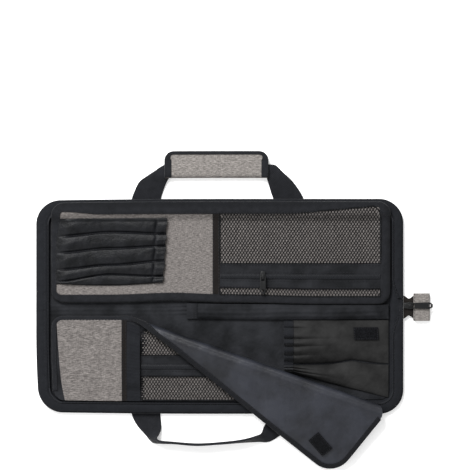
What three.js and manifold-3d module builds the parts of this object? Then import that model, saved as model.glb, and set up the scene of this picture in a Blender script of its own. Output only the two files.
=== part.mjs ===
// Chef knife roll, lying open on its outside. Millimetres, +Z up, +X along the spine to the zip's tail,
// +Y to the half with the padded handle. It is built round the middle of the shell, and at the end the
// group is moved so that its origin is the middle of its footprint, on the floor.
import * as THREE from 'three';
import Module from 'manifold-3d';

const wasm = await Module();
wasm.setup();

// Driving dimensions
const GAP = 0.3;
const SHELL = { width: 475, depth: 277, corner: 30, cloth: 3, rim: 11, slope: 5 };
const BINDING = { face: 9.5, topFace: 3.5, cloth: 1 };
const WEBBING = { width: 38, folded: 17, cloth: 1.6, foldedCloth: 3.4, tuck: 9, floorGap: 0.2 };
const LINING = { inset: 17, cloth: 1, ridge: 2 };
const SPINE = { top: 5, bottom: -14 };
const ZIP = { inset: 0.8, width: 9.8, cloth: 1, arch: 1.2, teethWidth: 2.6, teethHeight: 2.2, endGap: 1 };
const DIVIDER = { left: 20.3, right: 16.9, top: 3.5, corner: 15, board: 3.5, rise: 3.5, cornerReach: 8.6 };
const PIPING = { face: 5, top: 14.5, right: 12, bottom: 8.7, cloth: 1 };
const SLEEVES = { left: 0.5, length: 140, depth: 86.5, cloth: 1, puff: 6.4, hem: 10 };
const TAPE = { left: 208, width: 9, cloth: 1 };
const NET = { height: 56.8, strip: 8.8, strand: 2.6, cloth: 1, endGap: 12.5, stripEnd: 17 };
const POCKET_ZIP = { height: 31.7, endGap: 12.5, teethWidth: 6, teethHeight: 1.4, teethRise: 15, sliderAt: 56 };
const TAIL = { neck: 24, flare: 35, neckLength: 6, length: 27, centre: -1, cloth: 1.4 };
const TAB = { width: 21.5, depth: 36, cloth: 4.4, slot: 14 };
const PULL = { thickness: 1.4, window: 4.5, windowWidth: 4.2, arm: 1.6, hole: 1.6 };
const MAIN_PULL = { length: 29, width: 8.5, sliderLength: 12.5, sliderWidth: 9.5, body: 2.2 };
const SMALL_PULL = { length: 22, width: 8, sliderLength: 11, sliderWidth: 8, body: 1.6 };
const SLEEVE_BAND = { left: 188.5, puff: 4.2, cloth: 1.2, right: 1, top: 1, bottom: 2 };
const KEEPER = { width: 14, cloth: 1.2 };
const FLAP = { board: 3.2, corner: 13, freeCorner: 28, bottomGap: 1, foldStart: 118, foldEnd: 429.5, roll: 5.4 };
const DROOP = { start: 62, run: 42, fall: 14.2 };
const PATCH = { width: 84.3, bottom: 0.3, chamfer: 6.2, cloth: 1 };
const EDGE_TAPE = { width: 6.5, cloth: 1 };
const ELASTIC = { width: 16.5, cloth: 1.2, arch: 6, foot: 12 };
const FLAP_POCKET = { foldGap: 20, netTop: 17, netShare: 0.508, zipHeight: 26.5, bottom: 1.5 };
const POCKET = { left: 321, mouth: 12.5, puff: 10, cloth: 1.2, pucker: 1.6, puckers: 5, top: 2 };
const POCKET_1 = { depth: 56 };
const POCKET_2 = { mouthDepth: 9.5, endDepth: 42, gap: 2.5, puff: 6.2 };
const LOOP_PATCH = { start: 0.62, end: 0.887, depth: 16, top: 9, cloth: 1.6 };
const HOOK_PATCH = { along: 28, across: 17, fromTop: 22.6, fromRight: 39.8, turn: 10, cloth: 1.6 };
const TOP_HANDLE = { left: 142.2, right: 327.6, reach: 40 };
const BOTTOM_HANDLE = { left: 141.3, right: 327.6, reach: 41 };
const WRAP = { left: 24.5, length: 133, width: 34, thickness: 11, wall: 2.8, bend: 6, corner: 11 };
const WRAP_BINDING = { face: 8, cloth: 1 };

// Heights of the layers, from the floor up
const STRAP_TOP = WEBBING.floorGap + WEBBING.cloth;
const RIM_LOW = STRAP_TOP + GAP + BINDING.cloth + GAP;
const RIM_HIGH = RIM_LOW + SHELL.cloth;
const TAPE_LOW = RIM_HIGH + GAP + BINDING.cloth + GAP;
const TAPE_HIGH = TAPE_LOW + ZIP.arch + ZIP.cloth;
const LINING_TOP = SHELL.cloth + GAP + LINING.cloth;
const BOARD_LOW = LINING_TOP + GAP;
const BOARD_TOP = BOARD_LOW + DIVIDER.board;
const FLAP_MIDDLE = BOARD_LOW + PIPING.cloth + GAP + FLAP.board / 2;
const FLAP_TOP = FLAP_MIDDLE + FLAP.board / 2;

// Edges of the shell and of the two boards
const LEFT = -SHELL.width / 2;
const RIGHT = SHELL.width / 2;
const TOP = SHELL.depth / 2;
const BOTTOM = -SHELL.depth / 2;
const TEETH_REACH = ZIP.inset + ZIP.width + GAP + ZIP.teethWidth + GAP;
const BOARD_LEFT = LEFT + DIVIDER.left;
const BOARD_RIGHT = RIGHT - DIVIDER.right;

const root = new THREE.Group();

const LOOKS = {
  heather: { color: 0x99938f, roughness: 0.95, metalness: 0 },
  lining: { color: 0x26272a, roughness: 0.8, metalness: 0 },
  satin: { color: 0x202126, roughness: 0.45, metalness: 0 },
  webbing: { color: 0x2b2c2f, roughness: 0.85, metalness: 0 },
  tape: { color: 0x231f1e, roughness: 0.85, metalness: 0 },
  net: { color: 0x17181a, roughness: 0.8, metalness: 0 },
  zip: { color: 0x18191b, roughness: 0.4, metalness: 0 },
  metal: { color: 0x2a2b2e, roughness: 0.35, metalness: 0.9 },
};

function add(name, geometry, look) {
  const mesh = new THREE.Mesh(geometry, new THREE.MeshStandardMaterial(LOOKS[look]));
  mesh.name = name;
  root.add(mesh);
  return mesh;
}

// A closed mesh from points and triangles, turned so that its faces point out.
function closedMesh(points, faces) {
  let volume = 0;
  const cross = new THREE.Vector3();
  for (const [a, b, c] of faces) {
    volume += points[a].dot(cross.crossVectors(points[b], points[c]));
  }
  const index = volume < 0 ? faces.map(([a, b, c]) => [a, c, b]) : faces;
  const geometry = new THREE.BufferGeometry();
  geometry.setAttribute('position', new THREE.Float32BufferAttribute(points.flatMap((p) => p.toArray()), 3));
  geometry.setIndex(index.flat());
  geometry.computeVertexNormals();
  return geometry;
}

// Triangles that fill a ring, wound the way that the ring runs.
function fillRing(ring) {
  const normal = new THREE.Vector3();
  const centre = new THREE.Vector3();
  ring.forEach((p) => centre.addScaledVector(p, 1 / ring.length));
  ring.forEach((p, i) => {
    const a = p.clone().sub(centre);
    const b = ring[(i + 1) % ring.length].clone().sub(centre);
    normal.add(a.cross(b));
  });
  normal.normalize();
  const side = new THREE.Vector3(1, 0, 0);
  if (Math.abs(normal.x) > 0.8) side.set(0, 1, 0);
  side.cross(normal).normalize();
  const up = normal.clone().cross(side);
  const flat = ring.map((p) => new THREE.Vector2(p.dot(side), p.dot(up)));
  return THREE.ShapeUtils.triangulateShape(flat, []).map(([a, b, c]) => {
    const ab = flat[b].clone().sub(flat[a]);
    const turned = ab.cross(flat[c].clone().sub(flat[a])) < 0;
    return turned ? [a, c, b] : [a, b, c];
  });
}

// A skin through rings of as many points each: the ends are filled, or joined where it runs round.
function skin(rings, runsRound = false) {
  const count = rings[0].length;
  const faces = [];
  const last = runsRound ? rings.length : rings.length - 1;
  for (let i = 0; i < last; i++) {
    const here = i * count;
    const next = ((i + 1) % rings.length) * count;
    for (let j = 0; j < count; j++) {
      const k = (j + 1) % count;
      faces.push([here + j, here + k, next + k], [here + j, next + k, next + j]);
    }
  }
  if (!runsRound) {
    const end = (rings.length - 1) * count;
    faces.push(...fillRing(rings[0]).map(([a, b, c]) => [a, c, b]));
    faces.push(...fillRing(rings[rings.length - 1]).map((f) => f.map((i) => i + end)));
  }
  return closedMesh(rings.flat(), faces);
}

// A sheet of cloth: rows of points on its upper and its lower face, closed round the edge.
function sheet(upper, lower) {
  const rows = upper.length;
  const count = upper[0].length;
  const under = rows * count;
  const at = (i, j) => i * count + j;
  const faces = [];
  const quad = (a, b, c, d) => faces.push([a, b, c], [a, c, d]);
  for (let i = 0; i + 1 < rows; i++) {
    for (let j = 0; j + 1 < count; j++) {
      quad(at(i, j), at(i, j + 1), at(i + 1, j + 1), at(i + 1, j));
      quad(under + at(i, j), under + at(i + 1, j), under + at(i + 1, j + 1), under + at(i, j + 1));
    }
    quad(at(i, 0), at(i + 1, 0), under + at(i + 1, 0), under + at(i, 0));
    quad(at(i + 1, count - 1), at(i, count - 1), under + at(i, count - 1), under + at(i + 1, count - 1));
  }
  for (let j = 0; j + 1 < count; j++) {
    quad(at(0, j + 1), at(0, j), under + at(0, j), under + at(0, j + 1));
    quad(at(rows - 1, j), at(rows - 1, j + 1), under + at(rows - 1, j + 1), under + at(rows - 1, j));
  }
  return closedMesh([...upper.flat(), ...lower.flat()], faces);
}

// A sheet over a grid of shares, with height(u, v) for its underside.
function coverSheet(across, along, place, height, cloth) {
  const grid = (lift) => across.map((v) => along.map((u) => {
    const [x, y] = place(u, v);
    return new THREE.Vector3(x, y, height(u, v) + lift);
  }));
  return sheet(grid(cloth), grid(0));
}

const smooth = (t) => THREE.MathUtils.smoothstep(t, 0, 1);
const shares = (count) => Array.from({ length: count + 1 }, (_, i) => i / count);

// Shares from 0 to 1 that crowd towards both ends, for rounded corners.
function cornerShares(count) {
  const edge = 0.004;
  return shares(count).map((t) => THREE.MathUtils.clamp((1 - Math.cos(Math.PI * t)) / 2, edge, 1 - edge));
}

// A rounded rectangle as points with their outward normals, counterclockwise from the right side.
function roundedRectangle({ left, right, bottom, top, corner, topRight = corner }, perCorner = 5) {
  const centres = [
    { x: right - topRight, y: top - topRight, radius: topRight },
    { x: left + corner, y: top - corner, radius: corner },
    { x: left + corner, y: bottom + corner, radius: corner },
    { x: right - corner, y: bottom + corner, radius: corner },
  ];
  return centres.flatMap(({ x, y, radius }, quarter) => shares(perCorner).map((t) => {
    const angle = (quarter + t) * Math.PI / 2;
    const nx = Math.cos(angle);
    const ny = Math.sin(angle);
    return { x: x + radius * nx, y: y + radius * ny, nx, ny };
  }));
}

// Where the line of points p with p.across = level meets a convex outline: its two ends along the line.
function chord(outline, along, across, level) {
  const ends = [];
  outline.forEach((p, i) => {
    const q = outline[(i + 1) % outline.length];
    const a = p.x * across.x + p.y * across.y - level;
    const b = q.x * across.x + q.y * across.y - level;
    if ((a <= 0) === (b <= 0)) return;
    const t = a / (a - b);
    ends.push((p.x + (q.x - p.x) * t) * along.x + (p.y + (q.y - p.y) * t) * along.y);
  });
  return [Math.min(...ends), Math.max(...ends)];
}

// A board inside an outline, in rows across it. place(x, y, height) bends it, with height off its middle.
function board(outline, along, levels, columns, thickness, place) {
  const across = { x: -along.y, y: along.x };
  const row = (height) => (level) => {
    const [a, b] = chord(outline, along, across, level);
    return shares(columns).map((t) => {
      const s = a + (b - a) * t;
      return place(s * along.x + level * across.x, s * along.y + level * across.y, height);
    });
  };
  return sheet(levels.map(row(thickness / 2)), levels.map(row(-thickness / 2)));
}

// Cloth binding wrapped round the edge of a board, as a section that follows the outline. upper(p) is how
// far it reaches over the board at a point.
function binding(outline, { upper, lower, cloth, thickness, steps = 1 }, place, runsRound) {
  const near = thickness / 2 + GAP;
  const far = near + cloth;
  const leg = (from, to, height) => shares(steps).map((t) => ({ out: THREE.MathUtils.lerp(from, to, t), height }));
  const section = (reach) => [
    ...leg(GAP, -reach, near), ...leg(-reach, GAP + cloth, far),
    ...leg(GAP + cloth, -lower, -far), ...leg(-lower, GAP, -near),
  ];
  const rings = outline.map((p) => section(upper(p)).map((s) => {
    return place(p.x + s.out * p.nx, p.y + s.out * p.ny, s.height);
  }));
  return skin(rings, runsRound);
}

// A strip that follows a path at a list of { inset, z } corners.
function strip(path, section) {
  return skin(path.map((p) => section.map(({ inset, z }) => {
    return new THREE.Vector3(p.x - inset * p.nx, p.y - inset * p.ny, z);
  })));
}

// A flat outline of [x, y] corners, with holes, raised from z by its thickness.
function plate(corners, z, thickness, holes = []) {
  const path = (list) => list.map(([x, y]) => new THREE.Vector2(x, y));
  const shape = new THREE.Shape(path(corners));
  shape.holes = holes.map((hole) => new THREE.Path(path(hole)));
  const geometry = new THREE.ExtrudeGeometry(shape, { depth: thickness, bevelEnabled: false });
  return geometry.translate(0, 0, z);
}

const rectangle = (left, right, bottom, top) => [[left, bottom], [right, bottom], [right, top], [left, top]];

// Solids for joins and cuts
function solid(geometry) {
  const points = geometry.index ? geometry.toNonIndexed() : geometry;
  const position = points.getAttribute('position');
  const seen = new Map();
  const vertProperties = [];
  const triVerts = [];
  for (let i = 0; i < position.count; i++) {
    const corner = [position.getX(i), position.getY(i), position.getZ(i)];
    const key = corner.map((c) => c.toFixed(4)).join(' ');
    if (!seen.has(key)) {
      seen.set(key, seen.size);
      vertProperties.push(...corner);
    }
    triVerts.push(seen.get(key));
  }
  return new wasm.Manifold(new wasm.Mesh({
    numProp: 3,
    vertProperties: new Float32Array(vertProperties),
    triVerts: new Uint32Array(triVerts),
  }));
}

function fromSolid(manifold) {
  const mesh = manifold.getMesh();
  const geometry = new THREE.BufferGeometry();
  geometry.setAttribute('position', new THREE.Float32BufferAttribute(mesh.vertProperties, 3));
  geometry.setIndex(new THREE.Uint32BufferAttribute(mesh.triVerts, 1));
  geometry.computeVertexNormals();
  return geometry;
}

const block = (left, right, bottom, top, low, high) => {
  return solid(plate(rectangle(left, right, bottom, top), low, high - low));
};

// Shell, binding and lining
const shellOutline = roundedRectangle({ left: LEFT, right: RIGHT, bottom: BOTTOM, top: TOP, corner: SHELL.corner });

function shellRings() {
  const profile = [
    { inset: SHELL.rim + SHELL.slope, z: 0 },
    { inset: SHELL.rim, z: RIM_LOW },
    { inset: 0, z: RIM_LOW },
    { inset: 0, z: RIM_HIGH },
    { inset: SHELL.rim, z: RIM_HIGH },
    { inset: SHELL.rim + SHELL.slope, z: SHELL.cloth },
  ];
  return profile.map(({ inset, z }) => shellOutline.map((p) => {
    return new THREE.Vector3(p.x - inset * p.nx, p.y - inset * p.ny, z);
  }));
}
add('outer_shell', skin(shellRings()), 'heather');

const rimPlace = (x, y, height) => new THREE.Vector3(x, y, (RIM_LOW + RIM_HIGH) / 2 + height);
const shellBinding = {
  upper: () => BINDING.topFace, lower: BINDING.face, cloth: BINDING.cloth, thickness: SHELL.cloth,
};
add('shell_binding', binding(shellOutline, shellBinding, rimPlace, true), 'webbing');

// The lining lies flat on the shell, with three soft folds along the spine.
const foldsTop = SPINE.top - PIPING.cloth - 2 * GAP;
const foldsBottom = SPINE.bottom + PIPING.cloth + 2 * GAP;
function liningFold(y) {
  const t = (y - foldsBottom) / (foldsTop - foldsBottom);
  return t > 0 && t < 1 ? LINING.ridge * Math.sin(Math.PI * t * 3) ** 2 : 0;
}
const liningOutline = roundedRectangle({
  left: LEFT + LINING.inset,
  right: RIGHT - LINING.inset,
  bottom: BOTTOM + LINING.inset,
  top: TOP - LINING.inset,
  corner: SHELL.corner - LINING.inset,
});
function liningLevels() {
  const half = TOP - LINING.inset;
  const ends = cornerShares(10).map((t) => -half + 2 * half * t).filter((y) => y < foldsBottom || y > foldsTop);
  const folds = shares(12).map((t) => THREE.MathUtils.lerp(foldsBottom, foldsTop, t));
  return [...ends, ...folds].sort((a, b) => a - b);
}
const alongX = { x: 1, y: 0 };
add('inner_lining', board(liningOutline, alongX, liningLevels(), 8, LINING.cloth, (x, y, height) => {
  const foldShare = height > 0 ? 1 : 0.8;
  return new THREE.Vector3(x, y, SHELL.cloth + GAP + LINING.cloth / 2 + height + foldShare * liningFold(y));
}), 'lining');

// Gusset zip: one tape with its coil on three sides of each half
function rimPath(upper, from, to) {
  const points = shellOutline.filter((p) => (upper ? p.y > 0 : p.y < 0));
  const start = { x: RIGHT, y: from, nx: 1, ny: 0 };
  const end = { x: LEFT, y: to, nx: -1, ny: 0 };
  return upper ? [start, ...points, end] : [end, ...points, start];
}
const spineMiddle = (SPINE.top + SPINE.bottom) / 2;
const tailTop = TAIL.centre + TAIL.neck / 2;
const tailBottom = TAIL.centre - TAIL.neck / 2;
const zipTapeSection = [
  { inset: ZIP.inset, z: TAPE_LOW },
  { inset: ZIP.inset + ZIP.width / 2, z: TAPE_LOW + ZIP.arch },
  { inset: ZIP.inset + ZIP.width, z: TAPE_LOW + ZIP.arch / 2 },
  { inset: ZIP.inset + ZIP.width, z: TAPE_LOW + ZIP.arch / 2 + ZIP.cloth },
  { inset: ZIP.inset + ZIP.width / 2, z: TAPE_HIGH },
  { inset: ZIP.inset, z: TAPE_LOW + ZIP.cloth },
];
function teethSection() {
  const near = ZIP.inset + ZIP.width + GAP;
  const low = TAPE_LOW;
  const shoulder = ZIP.teethHeight / 3;
  return [
    { inset: near, z: low },
    { inset: near + ZIP.teethWidth, z: low },
    { inset: near + ZIP.teethWidth, z: low + ZIP.teethHeight - shoulder },
    { inset: near + ZIP.teethWidth - shoulder, z: low + ZIP.teethHeight },
    { inset: near + shoulder, z: low + ZIP.teethHeight },
    { inset: near, z: low + ZIP.teethHeight - shoulder },
  ];
}
for (const { half, path } of [
  { half: 'upper', path: rimPath(true, tailTop, spineMiddle + ZIP.endGap) },
  { half: 'lower', path: rimPath(false, tailBottom, spineMiddle - ZIP.endGap) },
]) {
  add(`zip_tape_${half}`, strip(path, zipTapeSection), 'tape');
  add(`zip_teeth_${half}`, strip(path, teethSection()), 'zip');
}

// Tail of the zip: the two tapes run on past the spine into a heather tab
const tailStart = RIGHT + GAP + BINDING.cloth + GAP;
const tailMiddle = (RIM_LOW + RIM_HIGH) / 2;
function zipTail() {
  const neckEnd = tailStart + TAIL.neckLength;
  const tabStart = tailStart + TAIL.length - TAB.slot;
  const inSlot = tailStart + TAIL.length - GAP;
  const waist = TAIL.neck * 0.62;
  const rows = [
    { x: tailStart, half: TAIL.neck / 2 },
    { x: neckEnd, half: waist / 2 },
    { x: tabStart, half: TAIL.flare / 2 - 2 },
    { x: inSlot, half: TAIL.flare / 2 - 2 },
  ];
  const far = rows.map(({ x, half }) => [x, TAIL.centre - half]);
  const back = rows.map(({ x, half }) => [x, TAIL.centre + half]).reverse();
  return plate([...far, ...back], tailMiddle - TAIL.cloth / 2, TAIL.cloth);
}
add('zip_tail', zipTail(), 'tape');

const tabLeft = tailStart + TAIL.length - TAB.slot;
function tailTab() {
  const slot = TAIL.cloth / 2 + GAP;
  const half = TAB.cloth / 2;
  const section = [
    [0, slot], [TAB.slot, slot], [TAB.slot, -slot], [0, -slot],
    [0, -half], [TAB.width - half, -half], [TAB.width, 0], [TAB.width - half, half], [0, half],
  ];
  const shape = new THREE.Shape(section.map(([x, z]) => new THREE.Vector2(x, z)));
  const geometry = new THREE.ExtrudeGeometry(shape, { depth: TAB.depth, bevelEnabled: false });
  geometry.rotateX(Math.PI / 2);
  return geometry.translate(tabLeft, TAIL.centre + TAB.depth / 2, tailMiddle);
}
add('tail_tab', tailTab(), 'heather');

// Zip slider with its pull. Both are made round the pull's hinge, with the pull lying along +X.
const CROSSBAR = PULL.thickness / 2;
const ARCH = { post: 1.2, width: 2.8, clearance: 0.5 };

function sliderBody(pull) {
  const bodyTop = -CROSSBAR - ARCH.clearance;
  const inside = CROSSBAR + ARCH.clearance + GAP;
  const outside = inside + ARCH.post;
  const back = SLIDER_NOSE - pull.sliderLength;
  const barLow = CROSSBAR + ARCH.clearance;
  const half = pull.sliderWidth / 2;
  const outline = [
    [back, -half * 0.7], [0, -half], [SLIDER_NOSE, -half * 0.8],
    [SLIDER_NOSE, half * 0.8], [0, half], [back, half * 0.7],
  ];
  const side = ARCH.width / 2;
  return fromSolid(solid(plate(outline, bodyTop - pull.body, pull.body))
    .add(block(-outside, -inside, -side, side, bodyTop - GAP, barLow + ARCH.post))
    .add(block(inside, outside, -side, side, bodyTop - GAP, barLow + ARCH.post))
    .add(block(-outside, outside, -side, side, barLow, barLow + ARCH.post)));
}

function pullTab(pull) {
  const eye = PULL.windowWidth / 2 + PULL.arm;
  const half = pull.width / 2;
  const windowEnd = CROSSBAR + PULL.window;
  const outline = [
    [-CROSSBAR, -eye], [windowEnd, -eye], [pull.length - half, -half], [pull.length, -half / 2],
    [pull.length, half / 2], [pull.length - half, half], [windowEnd, eye], [-CROSSBAR, eye],
  ];
  const window = rectangle(CROSSBAR, windowEnd, -PULL.windowWidth / 2, PULL.windowWidth / 2);
  const hole = rectangle(pull.length - half - PULL.hole, pull.length - half + PULL.hole, -PULL.hole, PULL.hole);
  return plate(outline, -CROSSBAR, PULL.thickness, [window, hole]);
}

function zipPull(names, pull, position, turn) {
  const parts = [
    add(names.slider, sliderBody(pull), 'metal'),
    add(names.pull, pullTab(pull), 'metal'),
  ];
  for (const mesh of parts) {
    mesh.position.copy(position);
    mesh.rotation.z = turn;
  }
}
const bodyBelow = (pull) => CROSSBAR + ARCH.clearance + pull.body;
const SLIDER_NOSE = CROSSBAR + ARCH.clearance + GAP + ARCH.post + 1;
const tabTop = tailMiddle + TAB.cloth / 2;
zipPull({ slider: 'main_slider', pull: 'main_pull' }, MAIN_PULL, new THREE.Vector3(
  tabLeft - GAP - SLIDER_NOSE,
  TAIL.centre + 2,
  Math.max(tailMiddle + TAIL.cloth / 2 + GAP + bodyBelow(MAIN_PULL), tabTop + GAP + CROSSBAR),
), 0);

// Upper divider: a padded board sewn in along the top, where it rises over the zip tape
const boardRise = TAPE_HIGH + GAP - BOARD_LOW;
const riseStart = TOP - TEETH_REACH - DIVIDER.cornerReach - DIVIDER.rise;
function dividerPlace(x, y, height) {
  const slope = smooth((y - riseStart) / DIVIDER.rise);
  return new THREE.Vector3(x, y, BOARD_LOW + PIPING.cloth + GAP + DIVIDER.board / 2 + height + slope * boardRise);
}
const DIVIDER_TOP = BOARD_TOP + PIPING.cloth + GAP;
const dividerEdges = { left: BOARD_LEFT, right: BOARD_RIGHT, bottom: SPINE.top, top: TOP - DIVIDER.top };
const dividerOutline = roundedRectangle({ ...dividerEdges, corner: DIVIDER.corner }, 6);
const climb = shares(4).map((t) => riseStart + DIVIDER.rise * t);
function dividerLevels() {
  const inner = 0.05;
  const corners = dividerOutline.slice(0, dividerOutline.length / 4).map((p) => p.y);
  const feet = dividerOutline.slice(-dividerOutline.length / 4).map((p) => p.y);
  const low = climb.filter((y) => y < corners[0] - 0.5);
  return [...feet, SPINE.top + (dividerEdges.top - SPINE.top) / 2, ...low, ...corners]
    .map((y) => THREE.MathUtils.clamp(y, dividerEdges.bottom + inner, dividerEdges.top - inner));
}
add('upper_divider', board(dividerOutline, alongX, dividerLevels(), 8, DIVIDER.board, dividerPlace), 'heather');

// Extra points on the two sides, where the piping climbs with the board
function withRise(outline) {
  const steps = climb.filter((y) => y < dividerEdges.top - DIVIDER.corner - 0.5);
  const right = steps.map((y) => ({ x: BOARD_RIGHT, y, nx: 1, ny: 0 }));
  const left = steps.map((y) => ({ x: BOARD_LEFT, y, nx: -1, ny: 0 })).reverse();
  const middle = outline.length / 2;
  return [...right, ...outline.slice(0, middle), ...left, ...outline.slice(middle)];
}
const dividerPiping = {
  upper: ({ nx, ny }) => {
    return nx * nx * (nx > 0 ? PIPING.right : PIPING.face) + ny * ny * (ny > 0 ? PIPING.top : PIPING.bottom);
  },
  lower: PIPING.face,
  cloth: PIPING.cloth,
  thickness: DIVIDER.board,
};
add('divider_piping', binding(withRise(dividerOutline), dividerPiping, dividerPlace, true), 'lining');

// Five satin sleeves in a row, open at the right. Seams in shares of the depth, from the top, at the
// closed left end, in the middle and at the mouth; puff is each sleeve's share of the full height.
const SEAMS = [
  { left: 0, middle: 0, mouth: 0, puff: 1 },
  { left: 0.25, middle: 0.205, mouth: 0.232, puff: 1 },
  { left: 0.5, middle: 0.44, mouth: 0.43, puff: 1 },
  { left: 0.74, middle: 0.67, mouth: 0.65, puff: 0.92 },
  { left: 0.89, middle: 0.83, mouth: 0.84, puff: 0.92 },
  { left: 1, middle: 1, mouth: 1, puff: 0 },
];
const seamAt = (seam, u) => {
  return u < 0.5
    ? THREE.MathUtils.lerp(seam.left, seam.middle, smooth(u * 2))
    : THREE.MathUtils.lerp(seam.middle, seam.mouth, smooth(u * 2 - 1));
};
const sleeveLeft = BOARD_LEFT + PIPING.face + GAP + SLEEVES.left;
const sleeveTop = riseStart - GAP;
const SLEEVE_STEPS = 6;
const sleeveRows = shares(SLEEVE_STEPS * (SEAMS.length - 1));
function sleevePlace(u, v) {
  const slot = Math.min(Math.floor(v * (SEAMS.length - 1) + 1e-9), SEAMS.length - 2);
  const within = v * (SEAMS.length - 1) - slot;
  const share = THREE.MathUtils.lerp(seamAt(SEAMS[slot], u), seamAt(SEAMS[slot + 1], u), within);
  return [sleeveLeft + SLEEVES.length * u, sleeveTop - SLEEVES.depth * share];
}
function sleeveHeight(u, v) {
  const slot = Math.min(Math.floor(v * (SEAMS.length - 1) + 1e-9), SEAMS.length - 2);
  const within = v * (SEAMS.length - 1) - slot;
  const puff = 1 - Math.abs(2 * within - 1) ** 3;
  return DIVIDER_TOP + GAP + SLEEVES.puff * SEAMS[slot].puff * puff * smooth(u / 0.14);
}
const sleeveColumns = [0, 0.035, 0.07, 0.11, 0.15, 0.3, 0.45, 0.6, 0.75, 0.9, 1];
add('tool_sleeves', coverSheet(sleeveRows, sleeveColumns, sleevePlace, sleeveHeight, SLEEVES.cloth), 'satin');
const hemStart = 1 - SLEEVES.hem / SLEEVES.length;
add('sleeve_hem', coverSheet(sleeveRows, [hemStart, 1], sleevePlace, (u, v) => {
  return sleeveHeight(u, v) + SLEEVES.cloth + GAP;
}, SLEEVES.cloth), 'satin');

// Vertical tape, net pocket with its zip band, and the narrow net under it
const tapeLeft = BOARD_LEFT + TAPE.left;
const tapeRight = tapeLeft + TAPE.width;
const tapeTop = riseStart - GAP;
const onBoard = DIVIDER_TOP + GAP;
add('divider_tape', plate(
  rectangle(tapeLeft, tapeRight, dividerEdges.bottom + PIPING.bottom + GAP, tapeTop), onBoard, TAPE.cloth,
), 'tape');

// A coarse net: staggered openings as wide as the pitch less a strand, inside a convex outline.
function netPanel(corners, z, pitch, strand, cloth) {
  const xs = corners.map(([x]) => x);
  const ys = corners.map(([, y]) => y);
  const [left, right, bottom, top] = [Math.min(...xs), Math.max(...xs), Math.min(...ys), Math.max(...ys)];
  const rows = Math.max(1, Math.floor((top - bottom - strand) / pitch.y));
  const rise = (top - bottom - strand) / rows;
  const inside = (x, y) => corners.every(([ax, ay], i) => {
    const [bx, by] = corners[(i + 1) % corners.length];
    return ((bx - ax) * (y - ay) - (by - ay) * (x - ax)) / Math.hypot(bx - ax, by - ay) > strand * 0.9;
  });
  const holes = [];
  for (let row = 0; row < rows; row++) {
    const low = bottom + strand + row * rise;
    const high = low + rise - strand;
    const shift = row % 2 ? pitch.x / 2 : 0;
    for (let x = left + strand + shift; x + pitch.x <= right; x += pitch.x) {
      const hole = [x, x + pitch.x - strand, low, high];
      if (rectangle(...hole).every(([a, b]) => inside(a, b))) holes.push(hole);
    }
  }
  const cut = (net, hole) => net.subtract(block(...hole, z - 1, z + cloth + 1));
  return fromSolid(holes.reduce(cut, solid(plate(corners, z, cloth))));
}
const netLeft = tapeRight + GAP;
const netRight = BOARD_RIGHT - NET.endGap;
const netBottom = tapeTop - NET.height;
const netPitch = { x: 18, y: 14 };
add('upper_net', netPanel(
  rectangle(netLeft, netRight, netBottom, tapeTop), onBoard, netPitch, NET.strand, NET.cloth,
), 'net');
const bandTop = netBottom - GAP;
const bandBottom = bandTop - POCKET_ZIP.height;
const bandRight = BOARD_RIGHT - POCKET_ZIP.endGap;
add('pocket_zip_tape', plate(rectangle(netLeft, bandRight, bandBottom, bandTop), onBoard, NET.cloth), 'tape');
const stripTop = bandBottom - GAP;
add('upper_net_strip', netPanel(
  rectangle(netLeft, BOARD_RIGHT - NET.stripEnd, stripTop - NET.strip, stripTop),
  onBoard, netPitch, NET.strand, NET.cloth,
), 'net');
const teethLow = onBoard + NET.cloth + GAP;
const teethMiddle = bandBottom + POCKET_ZIP.teethRise;
add('pocket_zip_teeth', plate(rectangle(
  netLeft + GAP, bandRight - GAP, teethMiddle - POCKET_ZIP.teethWidth / 2, teethMiddle + POCKET_ZIP.teethWidth / 2,
), teethLow, POCKET_ZIP.teethHeight), 'zip');
zipPull({ slider: 'pocket_slider', pull: 'pocket_pull' }, SMALL_PULL, new THREE.Vector3(
  netLeft + POCKET_ZIP.sliderAt,
  teethMiddle,
  teethLow + POCKET_ZIP.teethHeight + GAP + bodyBelow(SMALL_PULL),
), -Math.PI / 2);

// Sleeve along the spine with a stitched keeper strip at its left end
const sleeveBandLeft = BOARD_LEFT + SLEEVE_BAND.left;
const keeperLeft = sleeveBandLeft - GAP - KEEPER.width;
const overFolds = LINING_TOP + LINING.ridge + GAP;
const spineTop = SPINE.top - PIPING.cloth - 2 * GAP - SLEEVE_BAND.top;
function spinePlace(u, v) {
  const right = RIGHT - LINING.inset - SLEEVE_BAND.right;
  const bottom = SPINE.bottom - SLEEVE_BAND.bottom;
  return [THREE.MathUtils.lerp(sleeveBandLeft, right, u), THREE.MathUtils.lerp(spineTop, bottom, v)];
}
add('spine_sleeve', coverSheet(shares(8), shares(6), spinePlace, (u, v) => {
  const puff = 1 - Math.abs(2 * v - 1) ** 2.5;
  return overFolds + SLEEVE_BAND.puff * puff * (1 - smooth((u - 0.92) / 0.08));
}, SLEEVE_BAND.cloth), 'lining');
add('keeper_strip', plate(
  rectangle(keeperLeft, keeperLeft + KEEPER.width, SPINE.bottom - SLEEVE_BAND.bottom, spineTop), overFolds, KEEPER.cloth,
), 'lining');

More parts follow.
